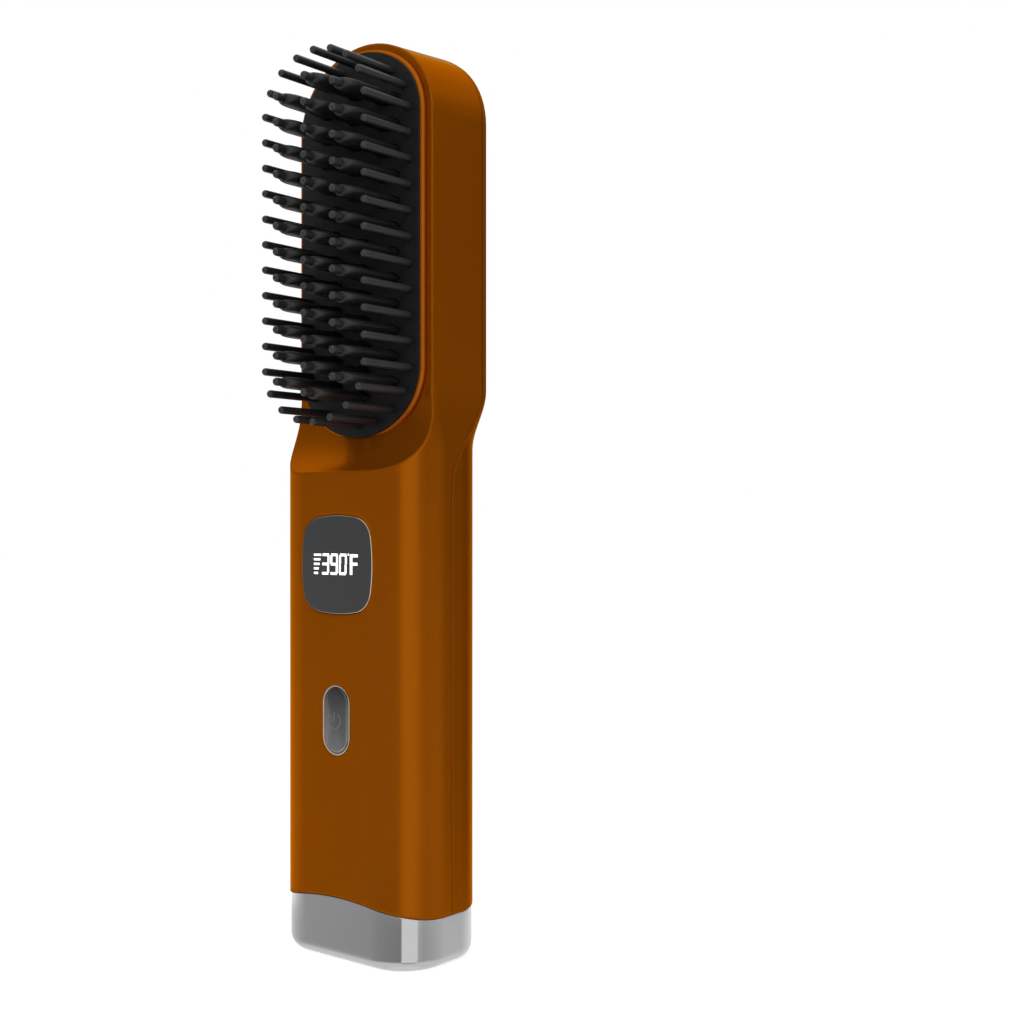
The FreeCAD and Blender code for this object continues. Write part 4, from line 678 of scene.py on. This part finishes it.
TENT_RADIUS = 0.9
TENT_HEIGHT = 3.9
TENT_LIFT = -0.65
TENT_SIDES = 128
bpy.ops.mesh.primitive_cylinder_add(vertices=TENT_SIDES, radius=TENT_RADIUS, depth=TENT_HEIGHT,
                                    end_fill_type="NOTHING", location=(0, 0, TENT_LIFT))
bpy.ops.object.transform_apply(location=True, rotation=False, scale=False)
tent = bpy.context.object
tent.name = "light_tent"
cloth, shader, place = finish("tent_cloth", {
    "Base Color": (0, 0, 0, 1), "Specular IOR Level": 0.0, "Emission Strength": 1.0})


def bearing(degrees):
    """A bearing as a share of the full turn: 0 degrees is ahead of the bristles and 90 at +X."""
    return 0.5 + degrees / 360


def round_about(turn, levels):
    """Brightness round the tent, from pairs of bearing in degrees and level."""
    stops = [(bearing(degrees), level) for degrees, level in levels]
    return turn.node("ShaderNodeValToRGB", {"stops": stops}, {"Fac": turn})


def step_up(value, start, end):
    """0 up to the start, 1 from the end on, and a soft rise between."""
    return value.node("ShaderNodeMapRange", {"interpolation_type": "SMOOTHSTEP"},
                      {"Value": value, "From Min": start, "From Max": end})


east = along(place, "X")
height = along(place, "Z")
turn = east.math("ARCTAN2", east, -1 * along(place, "Y")) * (0.5 / math.pi) + 0.5
level = round_about(turn, [
    (-180, 0.85), (-110, 0.95), (-85, 0.84), (-67, 0.62), (-52, 0.46), (-45, 0.36), (-14, 0.37), (33, 0.46),
    (70, 0.8), (88, 0.54), (113, 0.66), (125, 0.64), (137, 0.4), (146, 0.19), (170, 0.45), (180, 0.85)])
low = round_about(turn, [
    (-180, 1.0), (-110, 0.85), (-60, 0.56), (-48, 0.5), (-43, 0.42), (-18, 0.36), (33, 0.3),
    (70, 0.62), (83, 0.5), (116, 0.62), (134, 0.7), (158, 0.91), (180, 1.0)])
high = round_about(turn, [
    (-180, 1.05), (-140, 1.05), (-110, 0.95), (-84, 0.76), (-55, 0.3), (-10, 0.4), (33, 0.48),
    (140, 0.75), (158, 0.8), (180, 1.05)])

FALL_FOOT = -0.2
FALL_TOP = 0.33
FALL_BRIGHT = 1.3
FALL_DIM = 0.5
LOW_BAND = (-0.235, -0.215)
HIGH_BAND = (0.36, 0.95)
FOOT_BAND = (-0.9, -0.45)
FOOT_LEVEL = 0.9
fall = height.node("ShaderNodeMapRange", {}, {
    "Value": height, "From Min": FALL_FOOT, "From Max": FALL_TOP, "To Min": FALL_BRIGHT, "To Max": FALL_DIM})
shade = low + step_up(height, *LOW_BAND) * (fall * level - low)
shade = shade + step_up(height, *HIGH_BAND) * (high - shade)
shade = FOOT_LEVEL + step_up(height, *FOOT_BAND) * (shade - FOOT_LEVEL)

BOX_START = bearing(33.3)
BOX_END = bearing(69.7)
BOX_EDGE = 0.002
BOX_FOOT = -0.7
BOX_FOOT_EDGE = 0.05
GLOOM = 0.45
GLOOM_FOOT = -1.2
box = step_up(turn, BOX_START, BOX_START + BOX_EDGE) * (1 - step_up(turn, BOX_END, BOX_END + BOX_EDGE))
shade = shade * (1 - GLOOM * box * step_up(height, GLOOM_FOOT, BOX_FOOT))
lit_box = box * step_up(height, BOX_FOOT, BOX_FOOT + BOX_FOOT_EDGE)
shade.math("MAXIMUM", shade, lit_box).into(shader, "Emission Color")
tent.data.materials.append(cloth)
for ray in ("camera", "diffuse", "transmission", "volume_scatter", "shadow"):
    setattr(tent, f"visible_{ray}", False)

PLAIN_LIGHT = 0.42
scene = bpy.context.scene
scene.view_settings.view_transform = "Standard"
world = bpy.data.worlds.new("studio")
scene.world = world
world.use_nodes = True
background = world.node_tree.nodes["Background"]
background.inputs["Color"].default_value = (1, 1, 1, 1)
sky = Tone(world.node_tree)
seen = sky.node("ShaderNodeLightPath", {}, {}, "Is Camera Ray")
for ray in ("Is Glossy Ray", "Is Transmission Ray"):
    seen = seen.math("MAXIMUM", seen, sky.node("ShaderNodeLightPath", {}, {}, ray))
(PLAIN_LIGHT + (1 - PLAIN_LIGHT) * seen).into(background, "Strength")


def soft_light(name, place, size, power):
    """A square soft lamp aimed at the middle of the brush, which reflections don't see."""
    light = bpy.data.lights.new(name, "AREA")
    light.size = size
    light.energy = power
    lamp = bpy.data.objects.new(name, light)
    scene.collection.objects.link(lamp)
    lamp.location = place
    aim = (cad_box[0] + cad_box[1]) / 2 - lamp.location
    lamp.rotation_euler = aim.to_track_quat("-Z", "Y").to_euler()
    lamp.visible_glossy = False


soft_light("key_light", place=(0.5, -0.6, 0.65), size=0.5, power=3.4)
soft_light("fill_light", place=(-0.35, -0.75, 0.35), size=0.6, power=3.0)

# Camera: level, at the height of the brush's middle, looking at it from the front right.
# Its lens and its horizon are given in pixels of the picture's frame.

PICTURE = 1011
FOCAL_PIXELS = 1389
HORIZON_ROW = 530
SENSOR_WIDTH = 36
CAMERA_PLACE = (212.8 * MM, -222.9 * MM, 92.3 * MM)
CAMERA_TURN = math.atan2(0.6226, 0.7825)
camera_data = bpy.data.cameras.new("camera")
camera_data.sensor_width = SENSOR_WIDTH
camera_data.lens = SENSOR_WIDTH * FOCAL_PIXELS / PICTURE
camera_data.shift_y = (HORIZON_ROW - PICTURE / 2) / PICTURE
camera = bpy.data.objects.new("camera", camera_data)
camera.location = CAMERA_PLACE
camera.rotation_euler = (math.pi / 2, 0, CAMERA_TURN)
scene.collection.objects.link(camera)
scene.camera = camera
